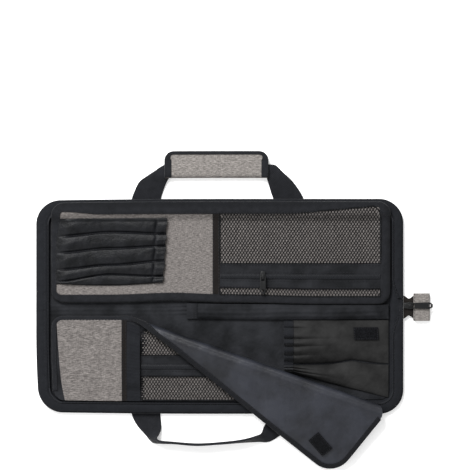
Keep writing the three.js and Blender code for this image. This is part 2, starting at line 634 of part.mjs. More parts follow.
// Gathered pockets for knife handles, open at the left with an elastic hem
const pocketLeft = LEFT + POCKET.left;
const pocketTop = SPINE.bottom - SLEEVE_BAND.bottom - POCKET.top;
const pocketLow = LINING_TOP + GAP;
const pocketColumns = [0, 0.04, 0.08, 0.13, 0.25, 0.45, 0.7, 0.85, 0.94, 1];
const pocketRight = RIGHT - LINING.inset - SLEEVE_BAND.right;
const pocketTwoTop = pocketTop - POCKET_1.depth - POCKET_2.gap;
function pocketHeight(u, v, puff) {
  const arch = Math.sin(Math.PI * THREE.MathUtils.clamp(v, 0, 1)) ** 0.6;
  const fall = 1 - u ** 3;
  const pucker = POCKET.pucker * Math.cos(2 * Math.PI * POCKET.puckers * v) * Math.exp(-u / 0.1);
  return pocketLow + arch * (puff * fall + POCKET.pucker + pucker * fall - POCKET.pucker * u);
}
function pocket(name, place, puff, rows) {
  add(name, coverSheet(shares(rows), pocketColumns, place, (u, v) => pocketHeight(u, v, puff), POCKET.cloth), 'lining');
}
const pocketX = (u) => THREE.MathUtils.lerp(pocketLeft + POCKET.mouth, pocketRight, u);
pocket('handle_pocket_1', (u, v) => [pocketX(u), pocketTop - POCKET_1.depth * v], POCKET.puff, 16);
pocket('handle_pocket_2', (u, v) => {
  const depth = THREE.MathUtils.lerp(POCKET_2.mouthDepth, POCKET_2.endDepth, u ** 0.9);
  return [pocketX(u), pocketTwoTop - depth * v];
}, POCKET_2.puff, 12);

// One elastic strip makes both mouths: it arches over each pocket and is sewn down between them.
const hemDepth = POCKET_1.depth + POCKET_2.gap + POCKET_2.mouthDepth;
function hemHeight(v) {
  const down = v * hemDepth;
  if (down <= POCKET_1.depth) return pocketHeight(0, down / POCKET_1.depth, POCKET.puff) - POCKET.pucker;
  const second = (down - POCKET_1.depth - POCKET_2.gap) / POCKET_2.mouthDepth;
  return pocketHeight(0, second, POCKET_2.puff) - POCKET.pucker * (second > 0 ? 1 : 0);
}
function hemRows() {
  const first = shares(16).map((t) => t * POCKET_1.depth / hemDepth);
  const second = shares(10).map((t) => (POCKET_1.depth + POCKET_2.gap + t * POCKET_2.mouthDepth) / hemDepth);
  return [...first, ...second];
}
add('pocket_hem', coverSheet(hemRows(), [0, 1], (u, v) => {
  return [THREE.MathUtils.lerp(pocketLeft, pocketLeft + POCKET.mouth - GAP, u), pocketTop - hemDepth * v];
}, (u, v) => Math.max(pocketLow, hemHeight(v)), POCKET.cloth), 'tape');

// Loop patch, lying on the slope of the first pocket
const loopShare = (u) => THREE.MathUtils.lerp(LOOP_PATCH.start, LOOP_PATCH.end, u);
add('loop_patch', coverSheet(shares(4), shares(4), (u, v) => [
  pocketX(loopShare(u)), pocketTop - LOOP_PATCH.top - LOOP_PATCH.depth * v,
], (u, v) => {
  const down = (LOOP_PATCH.top + LOOP_PATCH.depth * v) / POCKET_1.depth;
  return pocketHeight(loopShare(u), down, POCKET.puff) + POCKET.cloth + 2 * GAP;
}, LOOP_PATCH.cloth), 'tape');

// Knife flap: a board sewn in along the bottom. Its free corner is turned over a slanting fold and hangs
// past the edge of the shell.
const flapEdges = { left: BOARD_LEFT, right: BOARD_RIGHT, bottom: BOTTOM + TEETH_REACH + FLAP.bottomGap, top: SPINE.bottom };
const foldFrom = new THREE.Vector2(LEFT + FLAP.foldStart, flapEdges.top);
const foldTo = new THREE.Vector2(LEFT + FLAP.foldEnd, flapEdges.bottom);
const foldAlong = foldTo.clone().sub(foldFrom).normalize();
const foldAcross = new THREE.Vector2(-foldAlong.y, foldAlong.x);

function flapPlace(x, y, height) {
  const from = new THREE.Vector2(x, y).sub(foldFrom);
  const along = from.dot(foldAlong);
  const past = from.dot(foldAcross) + FLAP.roll;
  const turn = THREE.MathUtils.clamp(past / FLAP.roll, 0, Math.PI);
  const beyond = Math.max(0, past - Math.PI * FLAP.roll);
  const across = -FLAP.roll + Math.min(0, past) + (FLAP.roll - height) * Math.sin(turn) - beyond;
  const z = FLAP_MIDDLE + FLAP.roll * (1 - Math.cos(turn)) + height * Math.cos(turn);
  const point = foldFrom.clone().addScaledVector(foldAlong, along).addScaledVector(foldAcross, across);
  return new THREE.Vector3(point.x, point.y, z - DROOP.fall * smooth((beyond - DROOP.start) / DROOP.run));
}
const flapOutline = roundedRectangle({ ...flapEdges, corner: FLAP.corner, topRight: FLAP.freeCorner }, 6);
function flapLevels() {
  const base = foldFrom.dot(foldAcross);
  const reach = flapOutline.map((p) => p.x * foldAcross.x + p.y * foldAcross.y);
  const low = Math.min(...reach);
  const high = Math.max(...reach);
  const rollStart = base - FLAP.roll;
  const rollEnd = rollStart + Math.PI * FLAP.roll;
  const flat = shares(7).map((t) => THREE.MathUtils.lerp(low + 0.4, rollStart - 1, t));
  const roll = shares(8).map((t) => THREE.MathUtils.lerp(rollStart, rollEnd, t));
  const hang = rollEnd + DROOP.start;
  const turned = [rollEnd + 1, rollEnd + 3.5, rollEnd + PIPING.face + 1, hang - 2];
  const hanging = shares(9).map((t) => THREE.MathUtils.lerp(hang, high - 0.4, t));
  return [...flat, ...roll, ...turned, ...hanging];
}
add('knife_flap', board(flapOutline, foldAlong, flapLevels(), 8, FLAP.board, flapPlace), 'heather');

// Binding on the flap's free edges, with a point wherever a row of the board ends
function flapEdge() {
  const { left, right, bottom, top } = flapEdges;
  const quarter = flapOutline.length / 4;
  const rightCorner = flapOutline.slice(0, quarter);
  const leftCorner = flapOutline.slice(quarter, 2 * quarter);
  const low = bottom + FLAP.corner;
  const onRight = flapLevels()
    .map((level) => ({ x: right, y: (level - right * foldAcross.x) / foldAcross.y, nx: 1, ny: 0 }))
    .filter(({ y }) => y > low + 1 && y < top - FLAP.freeCorner - 1)
    .sort((p, q) => p.y - q.y);
  const onTop = flapLevels()
    .map((level) => ({ x: (level - top * foldAcross.y) / foldAcross.x, y: top, nx: 0, ny: 1 }))
    .filter(({ x }) => x > left + FLAP.corner + 1 && x < right - FLAP.freeCorner - 1)
    .sort((p, q) => q.x - p.x);
  return [
    { x: right, y: low, nx: 1, ny: 0 }, ...onRight, ...rightCorner, ...onTop, ...leftCorner,
    { x: left, y: low, nx: -1, ny: 0 },
  ];
}
const flapBinding = {
  upper: () => PIPING.face, lower: PIPING.face, cloth: PIPING.cloth, thickness: FLAP.board, steps: 2,
};
add('flap_binding', binding(flapEdge(), flapBinding, flapPlace, false), 'lining');

// What is sewn on the flat part of the flap, from left to right
const onFlap = FLAP_TOP + GAP;
const patchLeft = flapEdges.left + PIPING.face + GAP;
const patchTop = flapEdges.top - PIPING.face - GAP;
const patchBottom = flapEdges.bottom + PATCH.bottom;
const patchRight = patchLeft + PATCH.width;
add('flap_heather', plate([
  [patchLeft, patchBottom], [patchRight, patchBottom], [patchRight, patchTop],
  [patchLeft + PATCH.chamfer, patchTop], [patchLeft, patchTop - PATCH.chamfer],
], onFlap, PATCH.cloth), 'heather');
const edgeTapeLeft = patchRight + GAP;
const edgeTapeRight = edgeTapeLeft + EDGE_TAPE.width;
add('flap_edge_tape', plate(rectangle(edgeTapeLeft, edgeTapeRight, patchBottom, patchTop), onFlap, EDGE_TAPE.cloth), 'tape');
const elasticLeft = edgeTapeRight + GAP;
const elasticRight = elasticLeft + ELASTIC.width;

// How far down the cloth on the flap starts, clear of the turned corner above it
function clearOfFold(x) {
  const down = (x - foldFrom.x) * -foldAlong.y / foldAlong.x;
  return Math.min(patchTop, foldFrom.y - down - FLAP_POCKET.foldGap * Math.max(0, (x - foldFrom.x) / 40));
}
const elasticTop = clearOfFold(elasticRight) - 4;
add('scissor_band', coverSheet(shares(12), [0, 1], (u, v) => [
  THREE.MathUtils.lerp(elasticLeft, elasticRight, u),
  THREE.MathUtils.lerp(elasticTop, patchBottom, v),
], (u, v) => {
  const foot = ELASTIC.foot / (elasticTop - patchBottom);
  return onFlap + ELASTIC.arch * smooth((v - foot) / 0.14) * smooth((1 - foot - v) / 0.14);
}, ELASTIC.cloth), 'tape');

// Net pocket on the flap: each strip ends short of the fold, on a line along it.
const netStart = elasticRight + GAP;
function foldX(y) {
  return foldFrom.x + (y - foldFrom.y) * foldAlong.x / foldAlong.y - FLAP.roll / -foldAlong.y - 2;
}
function slantedStrip(top, bottom) {
  return [[netStart, bottom], [foldX(bottom), bottom], [foldX(top), top], [netStart, top]];
}
const flapNetTop = foldFrom.y - FLAP_POCKET.netTop;
const lowerNetBottom = flapEdges.bottom + FLAP_POCKET.bottom;
const netsHeight = flapNetTop - lowerNetBottom - FLAP_POCKET.zipHeight - 2 * GAP;
const flapNetBottom = flapNetTop - netsHeight * FLAP_POCKET.netShare;
const flapZipTop = flapNetBottom - GAP;
const lowerNetTop = flapZipTop - FLAP_POCKET.zipHeight - GAP;
add('flap_net_1', netPanel(
  slantedStrip(flapNetTop, flapNetBottom), onFlap, netPitch, NET.strand, NET.cloth,
), 'net');
add('flap_zip_tape', plate(slantedStrip(flapZipTop, flapZipTop - FLAP_POCKET.zipHeight), onFlap, NET.cloth), 'tape');
add('flap_net_2', netPanel(
  slantedStrip(lowerNetTop, lowerNetBottom), onFlap, netPitch, NET.strand, NET.cloth,
), 'net');
const flapTeeth = flapZipTop - POCKET_ZIP.teethWidth - FLAP_POCKET.zipHeight * 0.45;
add('flap_zip_teeth', plate(slantedStrip(flapTeeth + POCKET_ZIP.teethWidth, flapTeeth)
  .map(([x, y]) => [x + (x > netStart ? -1 : 1), y]), onFlap + NET.cloth + GAP, POCKET_ZIP.teethHeight), 'zip');

// Hook patch on the satin back of the turned corner: the board's underside is its upper face there.
function hookPatch() {
  const under = -FLAP.board / 2 - 2 * GAP;
  const middle = new THREE.Vector2(flapEdges.right - HOOK_PATCH.fromRight, flapEdges.top - HOOK_PATCH.fromTop);
  const turn = THREE.MathUtils.degToRad(HOOK_PATCH.turn);
  const rows = (height) => shares(7).map((v) => shares(7).map((u) => {
    const offset = new THREE.Vector2(-HOOK_PATCH.along * (u - 0.5), -HOOK_PATCH.across * (v - 0.5));
    const { x, y } = offset.rotateAround(new THREE.Vector2(), turn).add(middle);
    return flapPlace(x, y, height);
  }));
  return sheet(rows(under - HOOK_PATCH.cloth), rows(under));
}
add('hook_patch', hookPatch(), 'tape');

// A webbing handle as rows along its route. along and out are shares of the distance between its ends
// and of its reach, width is in shares from the folded to the full width, tilt is its lean in degrees.
function webbing(handle, side, rows, middleHeight) {
  const edge = side > 0 ? TOP : BOTTOM;
  const span = handle.right - handle.left;
  const points = rows.map(({ along, out }) => new THREE.Vector3(
    LEFT + handle.left + span * along, edge + side * handle.reach * out, 0,
  ));
  const steps = 3 * (rows.length - 1);
  const curve = new THREE.CatmullRomCurve3(points, false, 'centripetal');
  const value = (column, t) => {
    const i = Math.min(Math.floor(t * (rows.length - 1)), rows.length - 2);
    return THREE.MathUtils.lerp(rows[i][column], rows[i + 1][column], t * (rows.length - 1) - i);
  };
  return skin(shares(steps).map((t) => {
    const centre = curve.getPoint(t);
    const run = curve.getTangent(t);
    const tilt = THREE.MathUtils.degToRad(value('tilt', t));
    const full = value('width', t);
    const width = THREE.MathUtils.lerp(WEBBING.folded, WEBBING.width, full);
    const cloth = THREE.MathUtils.lerp(WEBBING.foldedCloth, WEBBING.cloth, full);
    const level = new THREE.Vector3(-run.y, run.x, 0).normalize();
    const wide = level.clone().multiplyScalar(Math.cos(tilt)).setZ(Math.sin(tilt));
    const thick = wide.clone().cross(run).normalize();
    const stand = width / 2 * Math.abs(Math.sin(tilt)) + cloth / 2 * Math.cos(tilt);
    centre.z = WEBBING.floorGap + stand + middleHeight * value('lift', t);
    const corner = (a, b) => centre.clone().addScaledVector(wide, a * width / 2).addScaledVector(thick, b * cloth / 2);
    return [corner(-1, -1), corner(1, -1), corner(1, 1), corner(-1, 1)];
  }));
}
const tuckedTop = -WEBBING.tuck / TOP_HANDLE.reach;
const tuckedBottom = -WEBBING.tuck / BOTTOM_HANDLE.reach;
const TOP_ROUTE = [
  { along: 0, out: tuckedTop, width: 1, tilt: 0, lift: 0 },
  { along: 0, out: 0.08, width: 1, tilt: 0, lift: 0 },
  { along: 0.012, out: 0.33, width: 0.8, tilt: 0, lift: 0.3 },
  { along: 0.035, out: 0.65, width: 0.45, tilt: 0, lift: 0.7 },
  { along: 0.07, out: 0.9, width: 0.1, tilt: 0, lift: 1 },
  { along: 0.115, out: 1, width: 0, tilt: 0, lift: 1 },
  { along: 0.5, out: 1, width: 0, tilt: 0, lift: 1 },
  { along: 0.87, out: 1, width: 0, tilt: 0, lift: 1 },
  { along: 0.93, out: 0.9, width: 0.1, tilt: 0, lift: 1 },
  { along: 0.965, out: 0.65, width: 0.45, tilt: 0, lift: 0.7 },
  { along: 0.988, out: 0.33, width: 0.8, tilt: 0, lift: 0.3 },
  { along: 1, out: 0.08, width: 1, tilt: 0, lift: 0 },
  { along: 1, out: tuckedTop, width: 1, tilt: 0, lift: 0 },
];
const wrapMiddle = WEBBING.floorGap + WRAP_BINDING.cloth + GAP + WRAP.thickness / 2;
add('top_handle', webbing(TOP_HANDLE, 1, TOP_ROUTE, wrapMiddle - WEBBING.floorGap - WEBBING.foldedCloth / 2), 'webbing');
const BOTTOM_ROUTE = [
  { along: 0, out: tuckedBottom, width: 1, tilt: 0, lift: 0 },
  { along: 0, out: 0.09, width: 1, tilt: 0, lift: 0 },
  { along: 0.012, out: 0.42, width: 0.85, tilt: 8, lift: 0 },
  { along: 0.038, out: 0.68, width: 0.45, tilt: 38, lift: 0 },
  { along: 0.085, out: 0.88, width: 0.1, tilt: 74, lift: 0 },
  { along: 0.15, out: 0.95, width: 0, tilt: 86, lift: 0 },
  { along: 0.31, out: 1, width: 0, tilt: 90, lift: 0 },
  { along: 0.55, out: 0.96, width: 0, tilt: 88, lift: 0 },
  { along: 0.74, out: 0.85, width: 0, tilt: 74, lift: 0 },
  { along: 0.87, out: 0.76, width: 0.1, tilt: 38, lift: 0 },
  { along: 0.955, out: 0.53, width: 0.5, tilt: 14, lift: 0 },
  { along: 0.99, out: 0.3, width: 0.9, tilt: 0, lift: 0 },
  { along: 1, out: 0.09, width: 1, tilt: 0, lift: 0 },
  { along: 1, out: tuckedBottom, width: 1, tilt: 0, lift: 0 },
];
add('bottom_handle', webbing(BOTTOM_HANDLE, -1, BOTTOM_ROUTE, 0), 'webbing');

// Padded wrap folded round the top handle, with its fold towards the shell, and its binding
const wrapLeft = LEFT + TOP_HANDLE.left + WRAP.left;
const wrapRight = wrapLeft + WRAP.length;
const wrapBottom = TOP + TOP_HANDLE.reach - WEBBING.folded / 2 - GAP - WRAP.wall;
const wrapTop = wrapBottom + WRAP.width;
function wrapPanel() {
  const half = WRAP.thickness / 2;
  const gap = half - WRAP.wall;
  const round = shares(6).map((t) => {
    const angle = Math.PI / 2 + Math.PI * t;
    return [WRAP.bend * 0.7 * (1 + Math.cos(angle)), half * Math.sin(angle)];
  });
  const section = [
    [WRAP.width, half], ...round, [WRAP.width, -half], [WRAP.width, -gap], [WRAP.wall, -gap], [WRAP.wall, gap],
    [WRAP.width, gap],
  ];
  const shape = new THREE.Shape(section.map(([a, b]) => new THREE.Vector2(a, b)));
  const geometry = new THREE.ExtrudeGeometry(shape, { depth: WRAP.length, bevelEnabled: false });
  geometry.applyMatrix4(new THREE.Matrix4().makeBasis(
    new THREE.Vector3(0, 1, 0), new THREE.Vector3(0, 0, 1), new THREE.Vector3(1, 0, 0),
  ));
  const rounded = roundedRectangle({
    left: wrapLeft, right: wrapRight, bottom: wrapBottom - 2 * WRAP.corner, top: wrapTop, corner: WRAP.corner - GAP,
  });
  const corners = rounded.map(({ x, y }) => [x, y]);
  return fromSolid(solid(geometry.translate(wrapLeft, wrapBottom, wrapMiddle))
    .intersect(solid(plate(corners, 0, 2 * wrapMiddle))));
}
add('handle_wrap', wrapPanel(), 'heather');
function wrapBinding() {
  const half = WRAP.thickness / 2;
  const skinLow = wrapMiddle - half - GAP - WRAP_BINDING.cloth;
  const skinHigh = wrapMiddle + half + GAP + WRAP_BINDING.cloth;
  const outer = roundedRectangle({
    left: wrapLeft, right: wrapRight, bottom: wrapBottom + WRAP.bend, top: wrapTop + GAP + WRAP_BINDING.cloth,
    corner: WRAP.corner,
  }, 4);
  const upperHalf = outer.filter((p) => p.y > wrapBottom + WRAP.bend + WRAP.corner);
  const foot = [[wrapLeft, wrapBottom + WRAP.bend], [wrapRight, wrapBottom + WRAP.bend]];
  const frame = solid(plate([...foot, ...upperHalf.map((p) => [p.x, p.y])], skinLow, skinHigh - skinLow));
  const window = block(
    wrapLeft + WRAP_BINDING.face, wrapRight - WRAP_BINDING.face, wrapBottom - 1, wrapTop - 2, skinLow - 1, skinHigh + 1,
  );
  const inside = block(
    wrapLeft - 1, wrapRight + 1, wrapBottom - 1, wrapTop + GAP, wrapMiddle - half - GAP, wrapMiddle + half + GAP,
  );
  return fromSolid(frame.subtract(window).subtract(inside));
}
add('wrap_binding', wrapBinding(), 'webbing');

// The origin goes to the middle of the footprint, on the floor.
root.updateMatrixWorld(true);
const extent = new THREE.Box3().setFromObject(root, true);
const footprint = extent.getCenter(new THREE.Vector3()).setZ(extent.min.z);
for (const mesh of root.children) {
  mesh.position.sub(footprint);
}

export default root;
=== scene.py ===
import math

import bmesh
import bpy
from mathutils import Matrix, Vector, noise


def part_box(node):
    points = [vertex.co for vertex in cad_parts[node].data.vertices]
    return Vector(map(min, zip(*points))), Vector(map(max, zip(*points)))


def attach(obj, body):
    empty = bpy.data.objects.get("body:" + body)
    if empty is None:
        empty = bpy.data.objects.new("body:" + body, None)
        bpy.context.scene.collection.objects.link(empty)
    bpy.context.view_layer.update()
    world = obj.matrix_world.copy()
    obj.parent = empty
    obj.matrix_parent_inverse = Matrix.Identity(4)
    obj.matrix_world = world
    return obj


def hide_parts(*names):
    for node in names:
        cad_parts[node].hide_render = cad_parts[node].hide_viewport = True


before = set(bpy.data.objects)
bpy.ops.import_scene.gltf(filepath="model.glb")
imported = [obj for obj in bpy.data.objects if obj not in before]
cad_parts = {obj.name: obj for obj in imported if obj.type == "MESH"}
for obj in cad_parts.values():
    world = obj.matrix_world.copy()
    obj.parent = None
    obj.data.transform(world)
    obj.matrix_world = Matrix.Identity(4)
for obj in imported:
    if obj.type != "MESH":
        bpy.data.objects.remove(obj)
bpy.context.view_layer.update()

# The studio: a sheet of white paper, one broad soft light from behind the roll and a weak one from the front,
# both on its left. The camera looks straight down through a long lens, as the photograph does.
PHOTO_WIDTH = 612.5
PHOTO_CENTRE = (19.9, 92.8)
CAMERA_DISTANCE = 3400.0
SENSOR = 36.0
scene = bpy.context.scene
shell_low, shell_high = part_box("outer_shell")
mid_x = (shell_low[0] + shell_high[0]) / 2
mid_y = (shell_low[1] + shell_high[1]) / 2


def at(x, y, z):
    """A place in millimetres from the middle of the shell, as the frame's metres."""
    return Vector((mid_x + x / 1000, mid_y + y / 1000, z / 1000))


def put_in_scene(name, data):
    made = bpy.data.objects.new(name, data)
    scene.collection.objects.link(made)
    return made


def new_material(name, settings):
    """A material whose shader has these constant values on its sockets."""
    material = bpy.data.materials.new(name)
    material.use_nodes = True
    shader = material.node_tree.nodes["Principled BSDF"]
    for socket, value in settings.items():
        shader.inputs[socket].default_value = value
    return material, material.node_tree, shader


def area_light(name, place, size, power):
    """A square light that faces the middle of the roll."""
    lamp = bpy.data.lights.new(name, "AREA")
    lamp.size = size
    lamp.energy = power
    holder = put_in_scene(name, lamp)
    holder.location = place
    holder.rotation_euler = (-Vector(place)).to_track_quat("-Z", "Y").to_euler()


camera = put_in_scene("camera", bpy.data.cameras.new("camera"))
camera.location = at(*PHOTO_CENTRE, CAMERA_DISTANCE)
camera.data.sensor_width = SENSOR
camera.data.lens = SENSOR * CAMERA_DISTANCE / PHOTO_WIDTH
camera.data.clip_end = 20
scene.camera = camera
floor_mesh = bpy.data.meshes.new("floor")
floor_mesh.from_pydata([(-4, -4, 0), (4, -4, 0), (4, 4, 0), (-4, 4, 0)], [], [(0, 1, 2, 3)])
floor_mesh.materials.append(new_material("white_paper", {
    "Base Color": (0.9, 0.9, 0.9, 1), "Roughness": 1.0,
    "Emission Color": (1, 1, 1, 1), "Emission Strength": 0.35,
})[0])
put_in_scene("floor", floor_mesh)
area_light("key_light", (-0.8, 1.5, 1.8), 1.1, 100)
area_light("fill_light", (-1.4, -1.3, 1.9), 1.8, 22)
world = bpy.data.worlds.new("studio")
scene.world = world
world.use_nodes = True
background = world.node_tree.nodes["Background"]
background.inputs["Color"].default_value = (1, 1, 1, 1)
background.inputs["Strength"].default_value = 0.55
scene.view_settings.view_transform = "Standard"

# Outer shell: heather canvas over thin foam, cut as one rounded rectangle and faced inside with ribbed black
# tape. Its rim stands up a little all round, because the straps of the handles are sewn under it.
SHELL_WIDTH = 475.0
SHELL_DEPTH = 277.0
SHELL_CORNER = 30.0
SHELL_CLOTH = 3.0
RIM = 11.0
RIM_SLOPE = 6.0
CLOTH_SHINE = 0.08


def add_node(tree, kind, inputs=(), **settings):
    made = tree.nodes.new("ShaderNode" + kind)
    for key, value in settings.items():
        setattr(made, key, value)
    for key, value in dict(inputs).items():
        if isinstance(value, bpy.types.NodeSocket):
            tree.links.new(value, made.inputs[key])
        else:
            made.inputs[key].default_value = value
    return made


def maths(tree, operation, *values):
    return add_node(tree, "Math", dict(enumerate(values)), operation=operation).outputs[0]


def blend_colours(tree, share, first, second):
    return add_node(tree, "Mix", {0: share, 6: first, 7: second}, data_type="RGBA").outputs[2]


def mapped(tree, value, low, high):
    """A value spread so that low becomes 0 and high becomes 1, and held between them."""
    return add_node(tree, "MapRange", {"Value": value, "From Min": low, "From Max": high}).outputs[0]


def stretched_noise(tree, place, stretch, detail=3.0):
    """Noise whose grain is as many metres long each way as stretch says."""
    scaled = add_node(tree, "Mapping", {"Vector": place, "Scale": [1 / s for s in stretch]})
    made = add_node(tree, "TexNoise", {"Vector": scaled.outputs[0], "Scale": 1.0, "Detail": detail})
    return made.outputs[0]


def new_group(name, inputs, outputs):
    tree = bpy.data.node_groups.new(name, "ShaderNodeTree")
    for socket, kind, value in inputs:
        made = tree.interface.new_socket(socket, in_out="INPUT", socket_type="NodeSocket" + kind)
        if value is not None:
            made.default_value = value
    for socket, kind in outputs:
        tree.interface.new_socket(socket, in_out="OUTPUT", socket_type="NodeSocket" + kind)
    return tree, tree.nodes.new("NodeGroupInput").outputs, tree.nodes.new("NodeGroupOutput")


def heather_group():
    """Yarn dyed in two greys, twisted and woven: long light and dark slubs along X."""
    tree, given, out = new_group(
        "heather_yarn",
        [("Dark", "Color", None), ("Middle", "Color", None), ("Light", "Color", None)],
        [("Color", "Color"), ("Height", "Float")],
    )
    place = add_node(tree, "TexCoord").outputs["Object"]
    slub = stretched_noise(tree, place, (0.0046, 0.0006, 0.0024), 3.0)
    fleck = stretched_noise(tree, place, (0.0015, 0.0004, 0.0016), 2.0)
    cross = stretched_noise(tree, place, (0.0009, 0.005, 0.003), 2.0)
    mixed = maths(tree, "ADD", maths(tree, "MULTIPLY", slub, 0.6), maths(tree, "MULTIPLY", fleck, 0.25))
    mixed = maths(tree, "ADD", mixed, maths(tree, "MULTIPLY", cross, 0.15))
    shade = mapped(tree, mixed, 0.36, 0.64)
    dark_side = blend_colours(tree, mapped(tree, shade, 0.0, 0.5), given["Dark"], given["Middle"])
    colour = blend_colours(tree, mapped(tree, shade, 0.5, 1.0), dark_side, given["Light"])
    tree.links.new(colour, out.inputs["Color"])
    tree.links.new(mixed, out.inputs["Height"])
    return tree


def weave_group():
    """Over and under of warp and weft, Pitch metres apart."""
    tree, given, out = new_group("plain_weave", [("Pitch", "Float", 0.0006)], [("Height", "Float")])
    parts = add_node(tree, "SeparateXYZ", {"Vector": add_node(tree, "TexCoord").outputs["Object"]})
    waves = []
    for axis in (0, 1):
        turns = maths(tree, "DIVIDE", parts.outputs[axis], given["Pitch"])
        waves.append(maths(tree, "SINE", maths(tree, "MULTIPLY", turns, math.pi)))
    tree.links.new(maths(tree, "MULTIPLY", *waves), out.inputs["Height"])
    return tree


def rib_group():
    """Ribs across a webbing or tape. Its UV map runs in metres: U along it and V across it."""
    tree, given, out = new_group(
        "ribs", [("Pitch", "Float", 0.0011), ("Row", "Float", 0.0016)], [("Height", "Float")],
    )
    parts = add_node(tree, "SeparateXYZ", {"Vector": add_node(tree, "UVMap", uv_map="run").outputs[0]})
    waves = []
    for axis, size, share in ((0, "Pitch", 0.6), (1, "Row", 0.4)):
        turns = maths(tree, "DIVIDE", parts.outputs[axis], given[size])
        wave = maths(tree, "SINE", maths(tree, "MULTIPLY", turns, 2 * math.pi))
        waves.append(maths(tree, "MULTIPLY", wave, share))
    tree.links.new(maths(tree, "ADD", *waves), out.inputs["Height"])
    return tree


def nap_group():
    """The soft creases of handled cloth, Crease metres across, whose height also darkens the colour in their
    hollows as painted shade, and its fine fuzz.
    """
    tree, given, out = new_group(
        "cloth_nap", [("Crease", "Float", 0.02)], [("Creases And Shade", "Float"), ("Fuzz", "Float")],
    )
    place = add_node(tree, "TexCoord").outputs["Object"]
    scale = maths(tree, "DIVIDE", 1.0, given["Crease"])
    wide = add_node(tree, "VectorMath", {0: place, 3: scale}, operation="SCALE")
    settings = {"Vector": wide.outputs[0], "Scale": 1.0, "Detail": 4.0, "Roughness": 0.55}
    creases = add_node(tree, "TexNoise", settings)
    tree.links.new(creases.outputs[0], out.inputs["Creases And Shade"])
    tree.links.new(stretched_noise(tree, place, (0.0006, 0.0006, 0.0006), 2.0), out.inputs["Fuzz"])
    return tree


HEATHER_YARN = heather_group()
PLAIN_WEAVE = weave_group()
RIBS = rib_group()
CLOTH_NAP = nap_group()


def paint(code):
    """A colour written as red, green and blue in hex, as Blender's linear light."""
    parts = [int(code[i:i + 2], 16) / 255 for i in (0, 2, 4)]
    return [p / 12.92 if p <= 0.04045 else ((p + 0.055) / 1.055) ** 2.4 for p in parts] + [1.0]


def place_group(tree, group, inputs=()):
    made = add_node(tree, "Group", node_tree=group)
    for key, value in dict(inputs).items():
        made.inputs[key].default_value = value
    return made.outputs


def bumped(tree, shader, *layers):
    """Stacks bumps on a shader, each a height, how deep it is in metres, and how strongly it shows."""
    normal = None
    for height, depth, strength in layers:
        inputs = {"Height": height, "Distance": depth, "Strength": strength}
        if normal is not None:
            inputs["Normal"] = normal
        normal = add_node(tree, "Bump", inputs).outputs[0]
    tree.links.new(normal, shader.inputs["Normal"])


def heather_cloth(name, dark, middle, light):
    material, tree, shader = new_material(name, {"Roughness": 0.95, "Specular IOR Level": 0.06})
    colours = {"Dark": paint(dark), "Middle": paint(middle), "Light": paint(light)}
    yarn = place_group(tree, HEATHER_YARN, colours)
    weave = place_group(tree, PLAIN_WEAVE, {"Pitch": 0.0008})
    tree.links.new(yarn["Color"], shader.inputs["Base Color"])
    bumped(tree, shader, (yarn["Height"], 0.0006, 0.5), (weave["Height"], 0.0001, 0.35))
    return material


def ribbed(name, dark, light, pitch, row, depth=0.0003):
    """Webbing or tape, its ribs pitch and row metres apart and depth metres deep."""
    material, tree, shader = new_material(name, {
        "Roughness": 0.85, "Specular IOR Level": CLOTH_SHINE, "Sheen Weight": 0.1, "Sheen Roughness": 0.4,
    })
    ribs = place_group(tree, RIBS, {"Pitch": pitch, "Row": row})
    nap = place_group(tree, CLOTH_NAP, {"Crease": 0.009})
    # Painted shade: the colour is darker in the grooves between the ribs and in the hollows of the creases.
    shade = maths(tree, "MULTIPLY", mapped(tree, ribs["Height"], -1.0, 1.0), nap["Creases And Shade"])
    tree.links.new(blend_colours(tree, shade, paint(dark), paint(light)), shader.inputs["Base Color"])
    bumped(tree, shader, (nap["Creases And Shade"], 0.0018, 0.8), (ribs["Height"], depth, 0.8))
    return material


HEATHER = heather_cloth("heather_cloth", "4a4745", "6f6b68", "95908c")
GUSSET = ribbed("gusset_tape", "131417", "26282c", 0.0009, 0.0013, 0.00015)


def smoothstep(t):
    t = min(1.0, max(0.0, t))
    return t * t * (3 - 2 * t)


def lerp(a, b, t):
    return a + (b - a) * t


def shares(count):
    return [i / count for i in range(count + 1)]


def settle(x, y):
    """Where a sewn place comes to lie, in millimetres: the left end of the roll is pinched a little, and the
    lower edge of the divider bends down."""
    left = max(0.0, -x / (SHELL_WIDTH / 2))
    below = max(0.0, (-y - 35) / (SHELL_DEPTH / 2 - 35))
    slip, pinch = 4.2 * below ** 2 * left ** 3, 2.2 * left ** 2 * y / (SHELL_DEPTH / 2)
    bend = 1.7 + 2.6 * math.exp(-((x + 62) / 45) ** 2) - 2.4 * smoothstep((x - 20) / 110)
    bend *= smoothstep((50 - y) / 40) * smoothstep((y - 0.5) / 4.5) * smoothstep((219 - abs(x)) / 10)
    return x + slip, y - pinch + bend


def finished(name, mesh, stands_for=(), body="roll", sharp=40):
    """Shades a mesh, puts it in the scene, hangs it on the empty of the body that it rides on, and hides the
    parts that it stands for.
    """
    mesh.shade_smooth()
    mesh.set_sharp_from_angle(angle=math.radians(sharp))
    made = put_in_scene(name, mesh)
    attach(made, body)
    if stands_for:
        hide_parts(*stands_for)
    return made


def piece(name, form, finishes, stands_for=()):
    """A piece from its form: points in millimetres, faces, and for a ribbed one the run of each point."""
    points, faces, *runs = form
    mesh = bpy.data.meshes.new(name)
    mesh.from_pydata([at(*settle(p[0], p[1]), p[2]) for p in points], [], faces)
    if runs:
        layer = mesh.uv_layers.new(name="run")
        for loop in mesh.loops:
            layer.data[loop.index].uv = runs[0][loop.vertex_index]
    work = bmesh.new()
    work.from_mesh(mesh)
    bmesh.ops.recalc_face_normals(work, faces=work.faces)
    work.to_mesh(mesh)
    work.free()
    for finish in finishes if isinstance(finishes, tuple) else [finishes]:
        mesh.materials.append(finish)
    return finished(name, mesh, stands_for)


